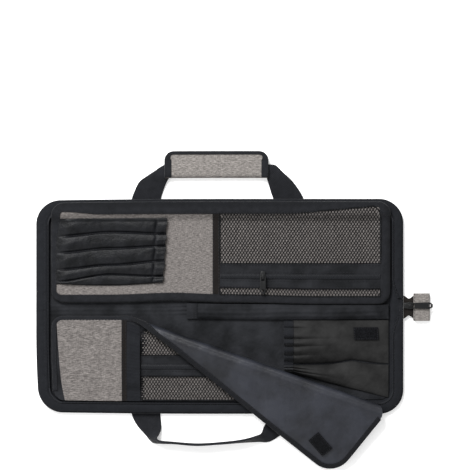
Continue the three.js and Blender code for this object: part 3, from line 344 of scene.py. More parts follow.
def run_by_place(form, along_x=True):
    """Adds to a form how its ribs run, along X or along Y."""
    return *form, [(p[0] / 1000, p[1] / 1000) if along_x else (p[1] / 1000, p[0] / 1000) for p in form[0]]


def sheet_faces(rows, columns):
    """Faces of two grids, the upper and then the lower, closed round their edge."""
    under = rows * columns
    faces = []
    for i in range(rows - 1):
        for j in range(columns - 1):
            a, b = i * columns + j, (i + 1) * columns + j
            faces.append((a, a + 1, b + 1, b))
            faces.append((under + a, under + b, under + b + 1, under + a + 1))
        for j in (0, columns - 1):
            a, b = i * columns + j, (i + 1) * columns + j
            faces.append((a, b, under + b, under + a))
    for i in (0, rows - 1):
        for j in range(columns - 1):
            a = i * columns + j
            faces.append((a, a + 1, under + a + 1, under + a))
    return faces


def rounded_outline(left, right, bottom, top, corner, step=6.0, per_corner=14, free_corner=None):
    """A rounded rectangle, counterclockwise from the right side: (x, y, outward x, outward y, distance)."""
    first = free_corner or corner
    centres = [
        (right - first, top - first, first), (left + corner, top - corner, corner),
        (left + corner, bottom + corner, corner), (right - corner, bottom + corner, corner),
    ]
    points = []
    for quarter, (cx, cy, radius) in enumerate(centres):
        for t in shares(per_corner):
            out = (math.cos((quarter + t) * math.pi / 2), math.sin((quarter + t) * math.pi / 2))
            points.append((cx + radius * out[0], cy + radius * out[1], *out))
    dense = []
    run = 0.0
    for i, p in enumerate(points):
        q = points[(i + 1) % len(points)]
        length = math.dist(p[:2], q[:2])
        pieces = max(1, round(length / step))
        for k in range(pieces):
            t = k / pieces
            dense.append(tuple(lerp(a, b, t) for a, b in zip(p, q)) + (run + length * t,))
        run += length
    return dense


def chord(outline, along, across, level):
    """Where the line at a level across a convex outline enters and leaves it."""
    ends = []
    for i, p in enumerate(outline):
        q = outline[(i + 1) % len(outline)]
        a = p[0] * across[0] + p[1] * across[1] - level
        b = q[0] * across[0] + q[1] * across[1] - level
        if (a <= 0) != (b <= 0):
            t = a / (a - b)
            ends.append(lerp(p[0], q[0], t) * along[0] + lerp(p[1], q[1], t) * along[1])
    return min(ends), max(ends)


def crowded(low, high, count, edge=0.0015):
    """Levels that crowd towards both ends, for round corners and turned-in edges."""
    return [lerp(low, high, min(1 - edge, max(edge, (1 - math.cos(math.pi * t)) / 2))) for t in shares(count)]


def slab(outline, levels, columns, upper, lower, along=(1.0, 0.0)):
    """Points of a board inside an outline, with upper(x, y) and lower(x, y) giving its faces."""
    across = (-along[1], along[0])
    top, bottom = [], []
    for level in levels:
        a, b = chord(outline, along, across, level)
        for t in crowded(a, b, columns - 1, 0.0):
            x, y = t * along[0] + level * across[0], t * along[1] + level * across[1]
            top.append(upper(x, y))
            bottom.append(lower(x, y))
    return top + bottom, sheet_faces(len(levels), columns)


def edge_distance(x, y, edges, corner):
    """How far inside a rounded rectangle a point lies."""
    dx = min(x - edges[0], edges[1] - x)
    dy = min(y - edges[2], edges[3] - y)
    if dx < corner and dy < corner:
        return corner - math.hypot(corner - dx, corner - dy)
    return min(dx, dy)


def z_of(node, side):
    """The height of a node's lower (0) or upper (1) face, in millimetres."""
    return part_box(node)[side][2] * 1000


rim_high = z_of("outer_shell", 1)
rim_low = rim_high - SHELL_CLOTH
shell_edges = (-SHELL_WIDTH / 2, SHELL_WIDTH / 2, -SHELL_DEPTH / 2, SHELL_DEPTH / 2)
shell_outline = rounded_outline(*shell_edges, SHELL_CORNER, per_corner=22)


def rim_rise(x, y):
    inset = edge_distance(x, y, shell_edges, SHELL_CORNER)
    return rim_low * (1 - smoothstep((inset - RIM) / RIM_SLOPE))


form = slab(
    shell_outline, crowded(-SHELL_DEPTH / 2, SHELL_DEPTH / 2, 90), 110,
    lambda x, y: (x, y, rim_rise(x, y) + SHELL_CLOTH), lambda x, y: (x, y, rim_rise(x, y)),
)
shell = piece("shell_cloth", run_by_place(form), (HEATHER, GUSSET), ["outer_shell"])
for face in shell.data.polygons:
    if max(face.vertices) < len(form[0]) // 2:
        face.material_index = 1

# Shell binding: black tape folded over the raw edge of the shell and sewn through with one row of
# stitches, which show on the outside, under the roll.
BINDING = ribbed("binding_tape", "111214", "2a2b2f", 0.0011, 0.02, 0.00025)
BINDING_CLOTH = 0.9
BINDING_UNDER = 9.5
BINDING_OVER = 3.5
STITCH_WIDTH = 0.55
rim_middle = (rim_low + rim_high) / 2


def skin_faces(rings, count, runs_round):
    faces = []
    for i in range(rings if runs_round else rings - 1):
        for j in range(count):
            k = (j + 1) % count
            m = (i + 1) % rings
            faces.append((i * count + j, i * count + k, m * count + k, m * count + j))
    if not runs_round:
        faces += [tuple(range(count)), tuple((rings - 1) * count + j for j in range(count))]
    return faces


def bound_edge(outline, section, place, runs_round):
    """A strip along an edge. section(p) holds its (outward, height) corners at a point of the outline, and
    place(x, y, height) puts each of them down."""
    points, runs = [], []
    for p in outline:
        corners, width = section(p), 0.0
        for i, (out, height) in enumerate(corners):
            if i:
                width += math.dist(corners[i - 1], corners[i])
            points.append(place(p[0] + out * p[2], p[1] + out * p[3], height))
            runs.append((p[4] / 1000, width / 1000))
    return points, skin_faces(len(outline), len(section(outline[0])), runs_round), runs


def edge_section(over, under, half, cloth, gap=0.25):
    """A folded tape's section: round outside, with both legs lying on the faces of the board."""
    near, far = half + gap, half + gap + cloth
    steps = shares(4)[1:-1]
    outer = []
    for t in shares(8):
        angle = math.pi / 2 - math.pi * t
        outer.append((gap + (cloth + gap) * math.cos(angle), far * math.sin(angle)))
    upper = [(-over, near), (-over, far - 0.15), (-over + 0.4, far)] + [(-over * (1 - t), far) for t in steps]
    lower = [(-under * t, -far) for t in steps]
    lower += [(-under + 0.4, -far), (-under, -far + 0.15), (-under, -near)]
    inner = [(-under * (1 - t), -near) for t in steps] + [(gap, -near), (gap, near)]
    inner += [(-over * t, near) for t in steps]
    return upper + outer + lower + inner


def stitch_line(path, length=2.6, gap=1.5, lift=0.25, sink=0.25):
    """Stitches along a path of (x, y, z) points, each a small rounded bar: points and faces."""
    points, faces = [], []
    run, target = 0.0, 0.0
    for a, b in zip(path, path[1:]):
        a, b = Vector(a), Vector(b)
        span = (b - a).length
        if span < 1e-6:
            continue
        forward = (b - a) / span
        side = forward.cross(Vector((0, 0, 1))).normalized() * STITCH_WIDTH / 2
        while target <= run + span:
            middle = a + forward * (target - run)
            base = len(points)
            for along, wide, height in (
                (-0.5, 0.5, -sink), (-0.36, 1.0, lift), (0.36, 1.0, lift), (0.5, 0.5, -sink),
            ):
                for s in (-1, 1):
                    corner = middle + forward * along * length + side * s * wide
                    points.append(corner + Vector((0, 0, height)))
            faces += [(base + i, base + i + 1, base + i + 3, base + i + 2) for i in (0, 2, 4)]
            faces += [(base + 1, base, base + 6, base + 7)]
            faces += [(base, base + 2, base + 4, base + 6), (base + 1, base + 3, base + 5, base + 7)]
            target += length + gap
        run += span
    return points, faces


def inner_path(outline, inset, place):
    """The line that runs inset(p) millimetres inside an outline, put down by place(x, y)."""
    return [place(p[0] - inset(p) * p[2], p[1] - inset(p) * p[3]) for p in outline]


section = edge_section(BINDING_OVER, BINDING_UNDER, SHELL_CLOTH / 2, BINDING_CLOTH)
piece("shell_edge_binding", bound_edge(
    shell_outline, lambda p: section, lambda x, y, height: (x, y, rim_middle + height), True,
), BINDING, ["shell_binding"])
THREAD, tree, shader = new_material("sewing_thread", {
    "Roughness": 0.6, "Specular IOR Level": CLOTH_SHINE, "Sheen Weight": 0.1, "Sheen Roughness": 0.4,
})
fuzz = place_group(tree, CLOTH_NAP, {"Crease": 0.004})["Fuzz"]
tree.links.new(blend_colours(tree, fuzz, paint("161618"), paint("2c2c30")), shader.inputs["Base Color"])
under_stitch = rim_low - BINDING_CLOTH - 0.25
path = inner_path(shell_outline, lambda p: BINDING_UNDER - 1.6, lambda x, y: (x, y, under_stitch))
piece("shell_stitches", stitch_line(path + path[:1], lift=0.2), THREAD)

# Inner lining: plain black cloth laid over the shell. Along the spine it has spare length, which lies in
# three soft folds, because the closed roll bends there.
LINING_INSET = 17.0
LINING_CLOTH = 1.0
FOLDS_TOP = 3.4
FOLDS_BOTTOM = -12.4
FOLD_HEIGHT = 1.4
lining_low = SHELL_CLOTH + 0.3
lining_outline = rounded_outline(
    shell_edges[0] + LINING_INSET, shell_edges[1] - LINING_INSET,
    shell_edges[2] + LINING_INSET, shell_edges[3] - LINING_INSET, SHELL_CORNER - LINING_INSET,
)


def black_cloth(name, dark, light, roughness, crease, crease_depth, pitch=0.0006, shine=CLOTH_SHINE):
    """Plain black cloth whose colour runs between two colours with its creases, crease metres across: painted
    shade, darker in their hollows.
    """
    material, tree, shader = new_material(name, {"Roughness": roughness, "Specular IOR Level": shine})
    nap = place_group(tree, CLOTH_NAP, {"Crease": crease})
    weave = place_group(tree, PLAIN_WEAVE, {"Pitch": pitch})
    # Painted shade: the colour follows the creases' height, darker in their hollows.
    shade = mapped(tree, nap["Creases And Shade"], 0.36, 0.64)
    tree.links.new(blend_colours(tree, shade, paint(dark), paint(light)), shader.inputs["Base Color"])
    bumped(
        tree, shader, (nap["Creases And Shade"], crease_depth, 0.9), (nap["Fuzz"], 0.0002, 0.3),
        (weave["Height"], 0.00008, 0.3),
    )
    return material


def ripple(x, y, size, seed=0.0):
    """Smooth noise between about -1 and 1, size millimetres across."""
    return noise.noise(Vector((x / size + seed, y / size - seed, seed * 1.7)))


def fold_height(x, y):
    t = (y + 1.6 * ripple(x, 0, 60, 3) - FOLDS_BOTTOM) / (FOLDS_TOP - FOLDS_BOTTOM)
    if not 0 < t < 1:
        return 0.0
    pressed = 0.2 + 0.8 * smoothstep((x + 70) / 45)
    return FOLD_HEIGHT * pressed * math.sin(math.pi * 3 * t) ** 2 * (0.75 + 0.35 * ripple(x, y * 3, 45, 8))


LINING = black_cloth("lining_cloth", "131416", "222326", 0.75, 0.03, 0.0040)
folds = [lerp(FOLDS_BOTTOM - 2, FOLDS_TOP + 2, t) for t in shares(44)]
lining_half = SHELL_DEPTH / 2 - LINING_INSET
flat_rows = [y for y in crowded(-lining_half, lining_half, 40) if not folds[0] < y < folds[-1]]
lining = piece("lining_sheet", slab(
    lining_outline, sorted(flat_rows + folds), 130,
    lambda x, y: (x, y, lining_low + LINING_CLOTH + fold_height(x, y)),
    lambda x, y: (x, y, lining_low + 0.8 * fold_height(x, y)),
), LINING, ["inner_lining"])

# Gusset zips: a zip tape with a nylon coil on three sides of each half of the shell. Next to the spine both
# coils sweep out to the tail. The tape is sewn down beside the coil with one row of stitches.
COIL = new_material("nylon_coil", {
    "Base Color": paint("232427"), "Roughness": 0.38, "Specular IOR Level": CLOTH_SHINE,
})[0]
ZIP_INSET = 0.8
ZIP_WIDTH = 9.8
ZIP_CLOTH = 1.0
ZIP_ARCH = 1.2
COIL_WIDTH = 2.6
COIL_HEIGHT = 2.2
COIL_PITCH = 1.9
TAIL_CENTRE = -1.0
tape_low = z_of("zip_tape_upper", 0)
coil_low = z_of("zip_teeth_upper", 0)


def half_path(upper, from_y, to_y):
    """The shell's edge on three sides of one half, from the tail round to the left end of the spine."""
    sign = 1 if upper else -1
    start, end = (SHELL_WIDTH / 2, from_y, 1.0, 0.0), (-SHELL_WIDTH / 2, to_y, -1.0, 0.0)
    ring = [p[:4] for p in shell_outline if p[1] * sign > from_y * sign + 0.5]
    ring.sort(key=lambda p: math.atan2(p[1] * sign, p[0]))
    dense, run = [], 0.0
    for p, q in zip([start] + ring, ring + [end]):
        length = math.dist(p[:2], q[:2])
        pieces = max(1, round(length / 3))
        for k in range(pieces):
            dense.append(tuple(lerp(a, b, k / pieces) for a, b in zip(p, q)) + (run + length * k / pieces,))
        run += length
    return dense + [end + (run,)]


def sweep(p):
    """How far the zip has swept out towards the tail at a point of its path."""
    return smoothstep((36 - abs(p[1] - TAIL_CENTRE)) / 30) if p[0] > 0 else 0.0


def coil(path, inset, low, width, height, pitch):
    """The teeth of a coil: rounded bars across the path, with the cord that they turn round."""
    points, faces, run, target = [], [], 0.0, pitch / 2
    for p, q in zip(path, path[1:]):
        length = math.dist(p[:2], q[:2])
        while target < run + length:
            t = (target - run) / length
            x, y, nx, ny = (lerp(a, b, t) for a, b in zip(p[:4], q[:4]))
            base = len(points)
            for share, wide, top in (
                (0.0, 0.30, 0.55), (0.25, 0.40, 0.95), (0.75, 0.40, 1.0), (1.0, 0.34, 0.6),
            ):
                out = inset(p) + width * share
                for side, z in ((-1, 0.0), (-0.8, top), (0.8, top), (1, 0.0)):
                    along = side * wide * pitch
                    points.append((x - out * nx - along * ny, y - out * ny + along * nx, low + height * z))
            for i in range(3):
                for j in range(4):
                    k = (j + 1) % 4
                    ring = base + i * 4
                    faces.append((ring + j, ring + k, ring + 4 + k, ring + 4 + j))
            faces += [(base, base + 1, base + 2, base + 3), (base + 12, base + 13, base + 14, base + 15)]
            target += pitch
        run += length
    return points, faces


def zip_width(p):
    """The tape reaches further in at the left end, where it leans on the dividers."""
    return ZIP_WIDTH + 2.2 * smoothstep((-p[0] - 205) / 25)


def zip_section(p):
    """The tape's section arches up to the coil, and narrows where it sweeps out to the tail."""
    out = sweep(p)
    width = lerp(zip_width(p), 3.4, out)
    start = lerp(ZIP_INSET, -0.4, out)
    lower = [
        (-start - width * t, tape_low + ZIP_ARCH * math.sin(math.pi * t * 0.85) ** 0.8) for t in shares(8)
    ]
    return [(across, z + ZIP_CLOTH) for across, z in lower] + lower[::-1]


def coil_inset(p):
    return lerp(ZIP_INSET + zip_width(p) + 0.3, 3.3, sweep(p))


for half, upper, start, end in (("upper", True, 11.0, -4.35), ("lower", False, -13.0, -4.65)):
    path = half_path(upper, start, end)
    form = bound_edge(path, zip_section, lambda x, y, z: (x, y, z), False)
    piece(f"zip_tape_{half}_cloth", form, GUSSET, [f"zip_tape_{half}"])
    form = coil(path, coil_inset, coil_low, COIL_WIDTH, COIL_HEIGHT, COIL_PITCH)
    piece(f"zip_coil_{half}", form, COIL, [f"zip_teeth_{half}"])
    row_height = tape_low + ZIP_ARCH * 0.72 + ZIP_CLOTH
    row = inner_path(path, lambda p: coil_inset(p) - 3.2, lambda x, y: (x, y, row_height))
    piece(f"zip_stitches_{half}", stitch_line(row), THREAD)

# Upper divider: a heather board, padded inside, sewn in along the top, where it climbs over the zip. Its
# piping is black tape folded over the edge and sewn down with one row of stitches.
# A darker copy of the heather cloth, used on the divider, the flap and its patch: painted shade, darker where
# these lie further from the light than the wrap.
SHADED_HEATHER = heather_cloth("shaded_heather_cloth", "403d3c", "615d5b", "847f7c")
DIVIDER_BOARD = 3.5
DIVIDER_CORNER = 15.0
DIVIDER_MIDDLE = 7.65
DIVIDER_RISE = 5.9
RISE_START = 110.0
RISE_WIDTH = 13.5
PIPING_FACE = 5.0
PIPING_TOP, PIPING_RIGHT, PIPING_BOTTOM = 14.8, 12.2, 8.7
PIPING_CLOTH = 0.9
divider_edges = (-217.2, 220.6, 5.0, 135.0)
divider_outline = rounded_outline(*divider_edges, DIVIDER_CORNER, step=3.0)


def divider_place(x, y, height):
    """A place on the divider, height millimetres over the middle of its board."""
    inset = edge_distance(x, y, divider_edges, DIVIDER_CORNER)
    quilt = 0.25 * smoothstep((inset - 6) / 8) * ripple(x, y, 55, 5)
    level = DIVIDER_MIDDLE + DIVIDER_RISE * smoothstep((y - RISE_START) / RISE_WIDTH) + quilt
    return (x, y, level + height)


def piping_face(p):
    """How far the piping reaches over the divider: broad along the hinge, at the zip and at the spine."""
    x, y, nx, ny = p[:4]
    top = lerp(PIPING_TOP, 5.4, min(1.0, max(0.0, (x - 96) / 104))) - 4 * smoothstep((-150 - x) / 55)
    left = PIPING_FACE + 5 * smoothstep((y - 78) / 45)
    sides = PIPING_RIGHT if nx > 0 else left
    corner = 7.6 * nx * ny if nx > 0 and ny > 0 else 0.0
    return nx * nx * sides + ny * ny * (top if ny > 0 else PIPING_BOTTOM) + corner


rows = crowded(5.0, RISE_START - 1, 40)[:-1] + [lerp(RISE_START - 0.8, 134.99, t) for t in shares(26)]
divider = piece("divider_cloth", slab(
    divider_outline, rows, 90,
    lambda x, y: divider_place(x, y, DIVIDER_BOARD / 2), lambda x, y: divider_place(x, y, -DIVIDER_BOARD / 2),
), SHADED_HEATHER, ["upper_divider"])
piece("divider_edge_piping", bound_edge(
    divider_outline, lambda p: edge_section(piping_face(p), PIPING_FACE, DIVIDER_BOARD / 2, PIPING_CLOTH),
    divider_place, True,
), BINDING, ["divider_piping"])
path = inner_path(
    divider_outline, lambda p: piping_face(p) - 1.3,
    lambda x, y: divider_place(x, y, DIVIDER_BOARD / 2 + 1.15),
)
piece("divider_stitches", stitch_line(path + path[:1]), THREAD)

# Tool sleeves: one sheet of black satin, sewn to the divider along its seams so that it stands up in
# five flat tunnels, closed at the left and open at the right, where a hem is turned over it.
SATIN = black_cloth("satin_cloth", "07080a", "121316", 0.42, 0.014, 0.0014, 0.0003, 0.14)
SLEEVES_LENGTH = 141.0
SLEEVES_TOP = 115.2
SLEEVES_DEPTH = 86.5
SLEEVES_PUFF = 3.3
SLEEVES_CLOTH = 0.9
HEM_WIDTH = 12.0
HEM_CLOTH = 1.1
SEAMS = [
    (0, 0, 0, 1), (0.27, 0.205, 0.24, 1), (0.52, 0.445, 0.42, 1), (0.775, 0.69, 0.645, 0.95),
    (0.96, 0.825, 0.885, 0.9), (1, 1, 1, 0),
]


def seam_at(seam, u):
    """How far down the sheet a seam lies at a share of its length, from its start, middle and end."""
    if u < 0.5:
        return lerp(seam[0], seam[1], smoothstep(u * 2))
    return lerp(seam[1], seam[2], smoothstep(u * 2 - 1))


def sleeve_slot(v):
    """Which of the five sleeves a share of the sheet is in, and how far across it."""
    slot = min(int(v * 5 + 1e-9), 4)
    return slot, v * 5 - slot


def sleeve_place(u, v):
    slot, within = sleeve_slot(v)
    share = lerp(seam_at(SEAMS[slot], u), seam_at(SEAMS[slot + 1], u), within)
    bow = 2.6 * math.sin(math.pi * u) * share
    left = -208.7 - 5.4 * smoothstep(share / 0.5)
    right = -68.9 - 4.8 * share ** 1.4 + 0.8 * math.sin(10 * math.pi * v) * smoothstep(u * 3 - 2)
    return lerp(left, right, u), SLEEVES_TOP - SLEEVES_DEPTH * share - bow


def sleeve_height(u, v):
    slot, within = sleeve_slot(v)
    x, y = SLEEVES_LENGTH * u, SLEEVES_DEPTH * v
    puff = smoothstep(within / 0.1) * (1 - smoothstep((within - 0.86) / 0.14))
    puff *= 0.6 + 0.4 * math.sin(math.pi * within)
    soft = 1 + 0.25 * ripple(x * 0.6, y, 26, slot) + 0.05 * ripple(x, y, 11, slot)
    fan = 0.0
    for angle, place, deep in ((0.9, 0.62, 0.7), (0.35, 0.2, 0.5)):
        line = within - place + angle * u * 1.6
        fan += deep * math.exp(-(line / 0.2) ** 2) * smoothstep(u / 0.06) * math.exp(-u / 0.3)
    pull = 0.5 * ripple(x * 0.35, y * 2.5, 9, slot + 11) * smoothstep((u - 0.75) / 0.2)
    groove = 1.3 * math.exp(-((SLEEVES_LENGTH * (1 - u) - HEM_WIDTH - 1.5) / 1.6) ** 2)
    rise = SLEEVES_PUFF * SEAMS[slot][3] * smoothstep(u / 0.13) * soft - groove
    foot = DIVIDER_BOARD / 2 + 0.1 + 0.2 * smoothstep(u / 0.04)
    return divider_place(*sleeve_place(u, v), foot)[2] + max(0.0, (rise + fan + pull) * puff)


def cover(us, vs, place, low, cloth):
    """A sheet over a grid of shares: low(u, v) is the height of its underside."""
    top, bottom = [], []
    for v in vs:
        for u in us:
            x, y = place(u, v)
            under = low(u, v)
            top.append((x, y, under + cloth))
            bottom.append((x, y, under))
    return top + bottom, sheet_faces(len(vs), len(us))


def sleeve_row(places, over):
    """A path over the sleeves through shares of the sheet, over millimetres above its underside."""
    return [(*sleeve_place(u, v), sleeve_height(u, v) + over) for u, v in places]


def joined(parts):
    points, faces = [], []
    for more_points, more_faces in parts:
        base = len(points)
        points += more_points
        faces += [tuple(i + base for i in face) for face in more_faces]
    return points, faces


sleeve_rows = shares(150)
form = cover(crowded(0, 1, 90, 0.0), sleeve_rows, sleeve_place, sleeve_height, SLEEVES_CLOTH)
sleeves = piece("sleeve_satin", form, SATIN, ["tool_sleeves"])
hem_start = 1 - HEM_WIDTH / SLEEVES_LENGTH
hem = piece("sleeve_hem_satin", cover(
    [lerp(hem_start, 1, t) for t in shares(10)], sleeve_rows, sleeve_place,
    lambda u, v: sleeve_height(u, v) + SLEEVES_CLOTH + 0.15, HEM_CLOTH,
), SATIN, ["sleeve_hem"])
parts = [
    stitch_line(sleeve_row([(u, v) for v in sleeve_rows], 2.2), 1.9, 1.1)
    for u in (hem_start + 0.006, 1 - 0.012)
] + [
    stitch_line(sleeve_row([(0.01 + 0.98 * t, seam / 5) for t in shares(60)], 0.95), 2.2, 1.3)
    for seam in range(1, 5)
]
stitches = piece("sleeve_stitches", joined(parts), THREAD)

# Vertical tape on the divider: black grosgrain between the sleeves and the net pocket, sewn down along both
# of its edges.
TAPE = ribbed("grosgrain_tape", "141211", "2b2725", 0.0011, 0.02)
TAPE_BOX = (-9.2, -0.2, 14.0, 120.0)
TAPE_CLOTH = 0.9


def on_divider(x, y):
    return divider_place(x, y, DIVIDER_BOARD / 2 + 0.3)[2]


def in_box(left, right, bottom, top):
    """Where shares of a box lie, the first to the right and the second up."""
    return lambda u, v: (lerp(left, right, u), lerp(bottom, top, v))


def tape_strip(box, surface, cloth, along_x=False, wave=0.25, seed=0.0):
    """A flat tape in a box, with a slight wave. Its ribs go across its length."""
    left, right, bottom, top = box
    place = in_box(*box)

    def low(u, v):
        return surface(*place(u, v)) + wave * (1 + ripple(right * u, top * v, 22, seed)) / 2

    us, vs = shares(max(2, round((right - left) / 3))), shares(max(2, round((top - bottom) / 2)))
    return run_by_place(cover(us, vs, place, low, cloth), along_x)


def edge_rows(box, surface, inset=1.2):
    """Stitch rows just inside the two long sides of an upright tape."""
    left, right, bottom, top = box
    ys = [lerp(bottom + 1, top - 1, t) for t in shares(60)]
    return joined([
        stitch_line([(x, y, surface(x, y) + 1.15) for y in ys]) for x in (left + inset, right - inset)
    ])


piece("divider_grosgrain", tape_strip(TAPE_BOX, on_divider, TAPE_CLOTH), TAPE, ["divider_tape"])
piece("divider_tape_stitches", edge_rows(TAPE_BOX, on_divider), THREAD)

# Net pocket of the divider. Its net is knitted in small diamonds, so the heather cloth shows through it; a
# zip band and a narrow strip of the same net close the pocket below.
NET = black_cloth("knitted_net", "09090a", "121315", 0.8, 0.01, 0.0002, 0.0005)
NET_CELL = 4.0
NET_STRAND = 0.86
NET_THICK = 0.3
NET_SLOPE = 1.55
NET_BAND = 1.6
NET_BOTTOM = 55.6
BAND_BOX = (0.1, 208.8, 23.6, 55.3)
BAND_CLOTH = 0.8
COIL_MIDDLE = 38.6
COIL_FOOT = 11.0
BAND_STITCHES = 11.2
SMALL_COIL = (5.6, 1.3, 1.7)


def net_strands(corners, surface):
    """A knitted net inside a convex outline: slanting strands both ways, and a band round its edge."""
    points, faces = [], []

    def bar(a, b, width, low, high):
        a, b = Vector(a), Vector(b)
        span = (b - a).length
        if span < width:
            return
        side = Vector((-(b - a).y, (b - a).x)).normalized() * width / 2
        steps = max(1, round(span / 6))
        base = len(points)
        for t in shares(steps):
            p = a.lerp(b, t)
            lift = 0.2 * (1 + ripple(p.x, p.y, 16, 2))
            for s, height in ((-1, low), (1, low), (1, high), (-1, high)):
                q = p + side * s
                points.append((q.x, q.y, surface(p.x, p.y) + height + lift))
        faces.extend(tuple(base + i for i in face) for face in skin_faces(steps + 1, 4, False))

    outline = [(*c, 0.0, 0.0) for c in corners]
    for slope, low in ((NET_SLOPE, 0.0), (-NET_SLOPE, 0.2)):
        normal = Vector((-slope, 1)).normalized()
        direction = Vector((1, slope)).normalized()
        levels = [normal.dot(Vector(c)) for c in corners]
        gap = NET_CELL * abs(normal.x)
        for k in range(1, int((max(levels) - min(levels)) / gap)):
            level = min(levels) + k * gap
            start, end = chord(outline, direction, normal, level)
            a, b = normal * level + direction * start, normal * level + direction * end
            bar(a, b, NET_STRAND, low, low + NET_THICK)
    for c, d in zip(corners, corners[1:] + corners[:1]):
        bar(c, d, NET_BAND, 0.0, 0.9)
    return points, faces


def straight_coil(left, right, y, low):
    width, height, pitch = SMALL_COIL
    path = [(x, y + width / 2, 0.0, 1.0, x) for x in (left, right)]
    return coil(path, lambda p: 0.0, low, width, height, pitch)


net = piece("pocket_net", net_strands([
    (0.1, NET_BOTTOM), (209.5, NET_BOTTOM), (210.0, 112), (207.0, 125), (199.8, 130.6), (96, 121.0),
    (0.1, 121.0),
], on_divider), NET, ["upper_net"])
piece("pocket_net_strip", net_strands([
    (0.1, 13.2), (208.8, 13.2), (208.8, 23.2), (0.1, 23.2),
], on_divider), NET, ["upper_net_strip"])
left, right, bottom, top = BAND_BOX
form = tape_strip(BAND_BOX, on_divider, BAND_CLOTH, True, 0.4, 4)
piece("pocket_zip_band", form, LINING, ["pocket_zip_tape"])
piece("pocket_band_stitches", joined([
    stitch_line([(left + 1.4, y, BAND_STITCHES), (right - 1.5, y, BAND_STITCHES)])
    for y in (bottom + 1.6, top - 1.6, COIL_MIDDLE - 5.6, COIL_MIDDLE + 5.6)
]), THREAD)
form = straight_coil(left + 0.5, right - 0.5, COIL_MIDDLE, COIL_FOOT)
piece("pocket_zip_coil", form, COIL, ["pocket_zip_teeth"])

# Sleeve along the spine: a plain black sheet sewn down on three sides over the folds of the lining, with a
# stitched keeper strip across its left end.
SPINE_LEFT, SPINE_RIGHT = -28.7, 219.5
SPINE_TOP, SPINE_BOTTOM = 2.4, -16.0
KEEPER_LEFT, KEEPER_RIGHT = -43.0, -29.0
OVER_FOLDS = 6.6


def spine_height(u, v):
    puff = 1 - abs(2 * v - 1) ** 2.5
    wave = 0.8 + 0.22 * ripple(u * 248, v * 10, 50, 6)
    pleat = 0.5 * math.sin(math.pi * 3 * v + ripple(u * 248, 0, 70, 9)) ** 2 * puff
    return OVER_FOLDS + (4.0 * puff * wave + pleat) * (1 - smoothstep((u - 0.92) / 0.08))


def spine_place(u, v):
    bottom = SPINE_BOTTOM - 1.2 * math.sin(math.pi * u)
    return lerp(SPINE_LEFT, SPINE_RIGHT, u), lerp(SPINE_TOP, bottom, v)


form = cover(shares(110), shares(34), spine_place, spine_height, 1.2)
spine = piece("spine_sleeve_cloth", form, LINING, ["spine_sleeve"])
piece("keeper_cloth", cover(
    shares(10), shares(14), in_box(KEEPER_LEFT, KEEPER_RIGHT, SPINE_BOTTOM, SPINE_TOP),
    lambda u, v: OVER_FOLDS + 0.5 * math.sin(math.pi * v) * (1 + 0.5 * ripple(u, v * 18, 7, 2)), 1.1,
), LINING, ["keeper_strip"])
piece("keeper_stitches", joined([
    stitch_line([(x, SPINE_BOTTOM + 1, OVER_FOLDS + 1.5), (x, SPINE_TOP - 1, OVER_FOLDS + 1.5)], 1.7, 1.2)
    for x in (KEEPER_LEFT + 7.5, KEEPER_LEFT + 11.5)
]), THREAD)

# Handle pockets: two black sheets sewn to the lining at the right, half covered by the turned flap. One
# elastic tape gathers both mouths, so the cloth puckers next to it.
POCKET_CLOTH = black_cloth("pocket_cloth", "1a1a1a", "282828", 0.75, 0.028, 0.0030, 0.0009)
POCKET_LEFT = 83.5
POCKET_RIGHT = 219.5
POCKET_TOP = -18.0
POCKET_DEPTH = 56.0
POCKET_PUFF = 10.0
POCKET_LOW = 4.6
MOUTH = 12.5
PUCKER = 3.6
SECOND_GAP = 2.5
SECOND_MOUTH = 9.5
SECOND_END = 42.0
SECOND_PUFF = 6.2
HEM_DEPTH = POCKET_DEPTH + SECOND_GAP + SECOND_MOUTH


def pocket_x(u):
    return lerp(POCKET_LEFT + MOUTH, POCKET_RIGHT, u)


def pocket_height(u, v, puff, puckers, seed):
    """The cloth stands up at the elastic, falls to the closed end, and puckers and ripples on the way."""
    v = min(1.0, max(0.0, v))
    arch = math.sin(math.pi * v) ** 0.6
    fall = 1 - u ** 3
    phase = v + 0.05 * ripple(v * 50, seed, 14, seed)
    gather = math.exp(-(u / (0.15 + 0.07 * ripple(v * 60, seed, 9, seed + 3))) ** 1.3)
    pucker = PUCKER * (2 * abs(math.sin(math.pi * puckers * phase)) ** 0.8 - 1) * gather
    x, y = 124 * u, 56 * v
    slack = 0.9 * ripple(x, y * 1.6, 42, seed + 7) * smoothstep(u / 0.2)
    slack += 0.25 * ripple(x, y * 2, 14, seed + 9)
    return POCKET_LOW + max(0.0, arch * (puff * fall + PUCKER + (pucker + slack) * fall - PUCKER * u))


def first_height(u, v):
    return pocket_height(u, v, POCKET_PUFF, 5, 0.0)


def second_height(u, v):
    return pocket_height(u, v, SECOND_PUFF, 3, 5.0)


def seam_bend(x):
    """The seam between the two pockets is drawn up in the middle."""
    return 5.2 * math.exp(-abs((x - 172) / 22) ** 1.4)


def first_place(u, v):
    x = pocket_x(u)
    return x, POCKET_TOP - (POCKET_DEPTH - seam_bend(x) * smoothstep(v)) * v


def second_place(u, v):
    x, depth = pocket_x(u), lerp(SECOND_MOUTH, SECOND_END, u ** 0.9)
    return x, POCKET_TOP - POCKET_DEPTH - SECOND_GAP - depth * v + seam_bend(x) * (1 - v)


def hem_height(v):
    """The elastic lies over both mouths, with the seam between them."""
    down = v * HEM_DEPTH
    if down <= POCKET_DEPTH:
        height = first_height(0, down / POCKET_DEPTH) - PUCKER
    else:
        share = (down - POCKET_DEPTH - SECOND_GAP) / SECOND_MOUTH
        height = second_height(0, share) - PUCKER * (share > 0)
    return max(POCKET_LOW, height)


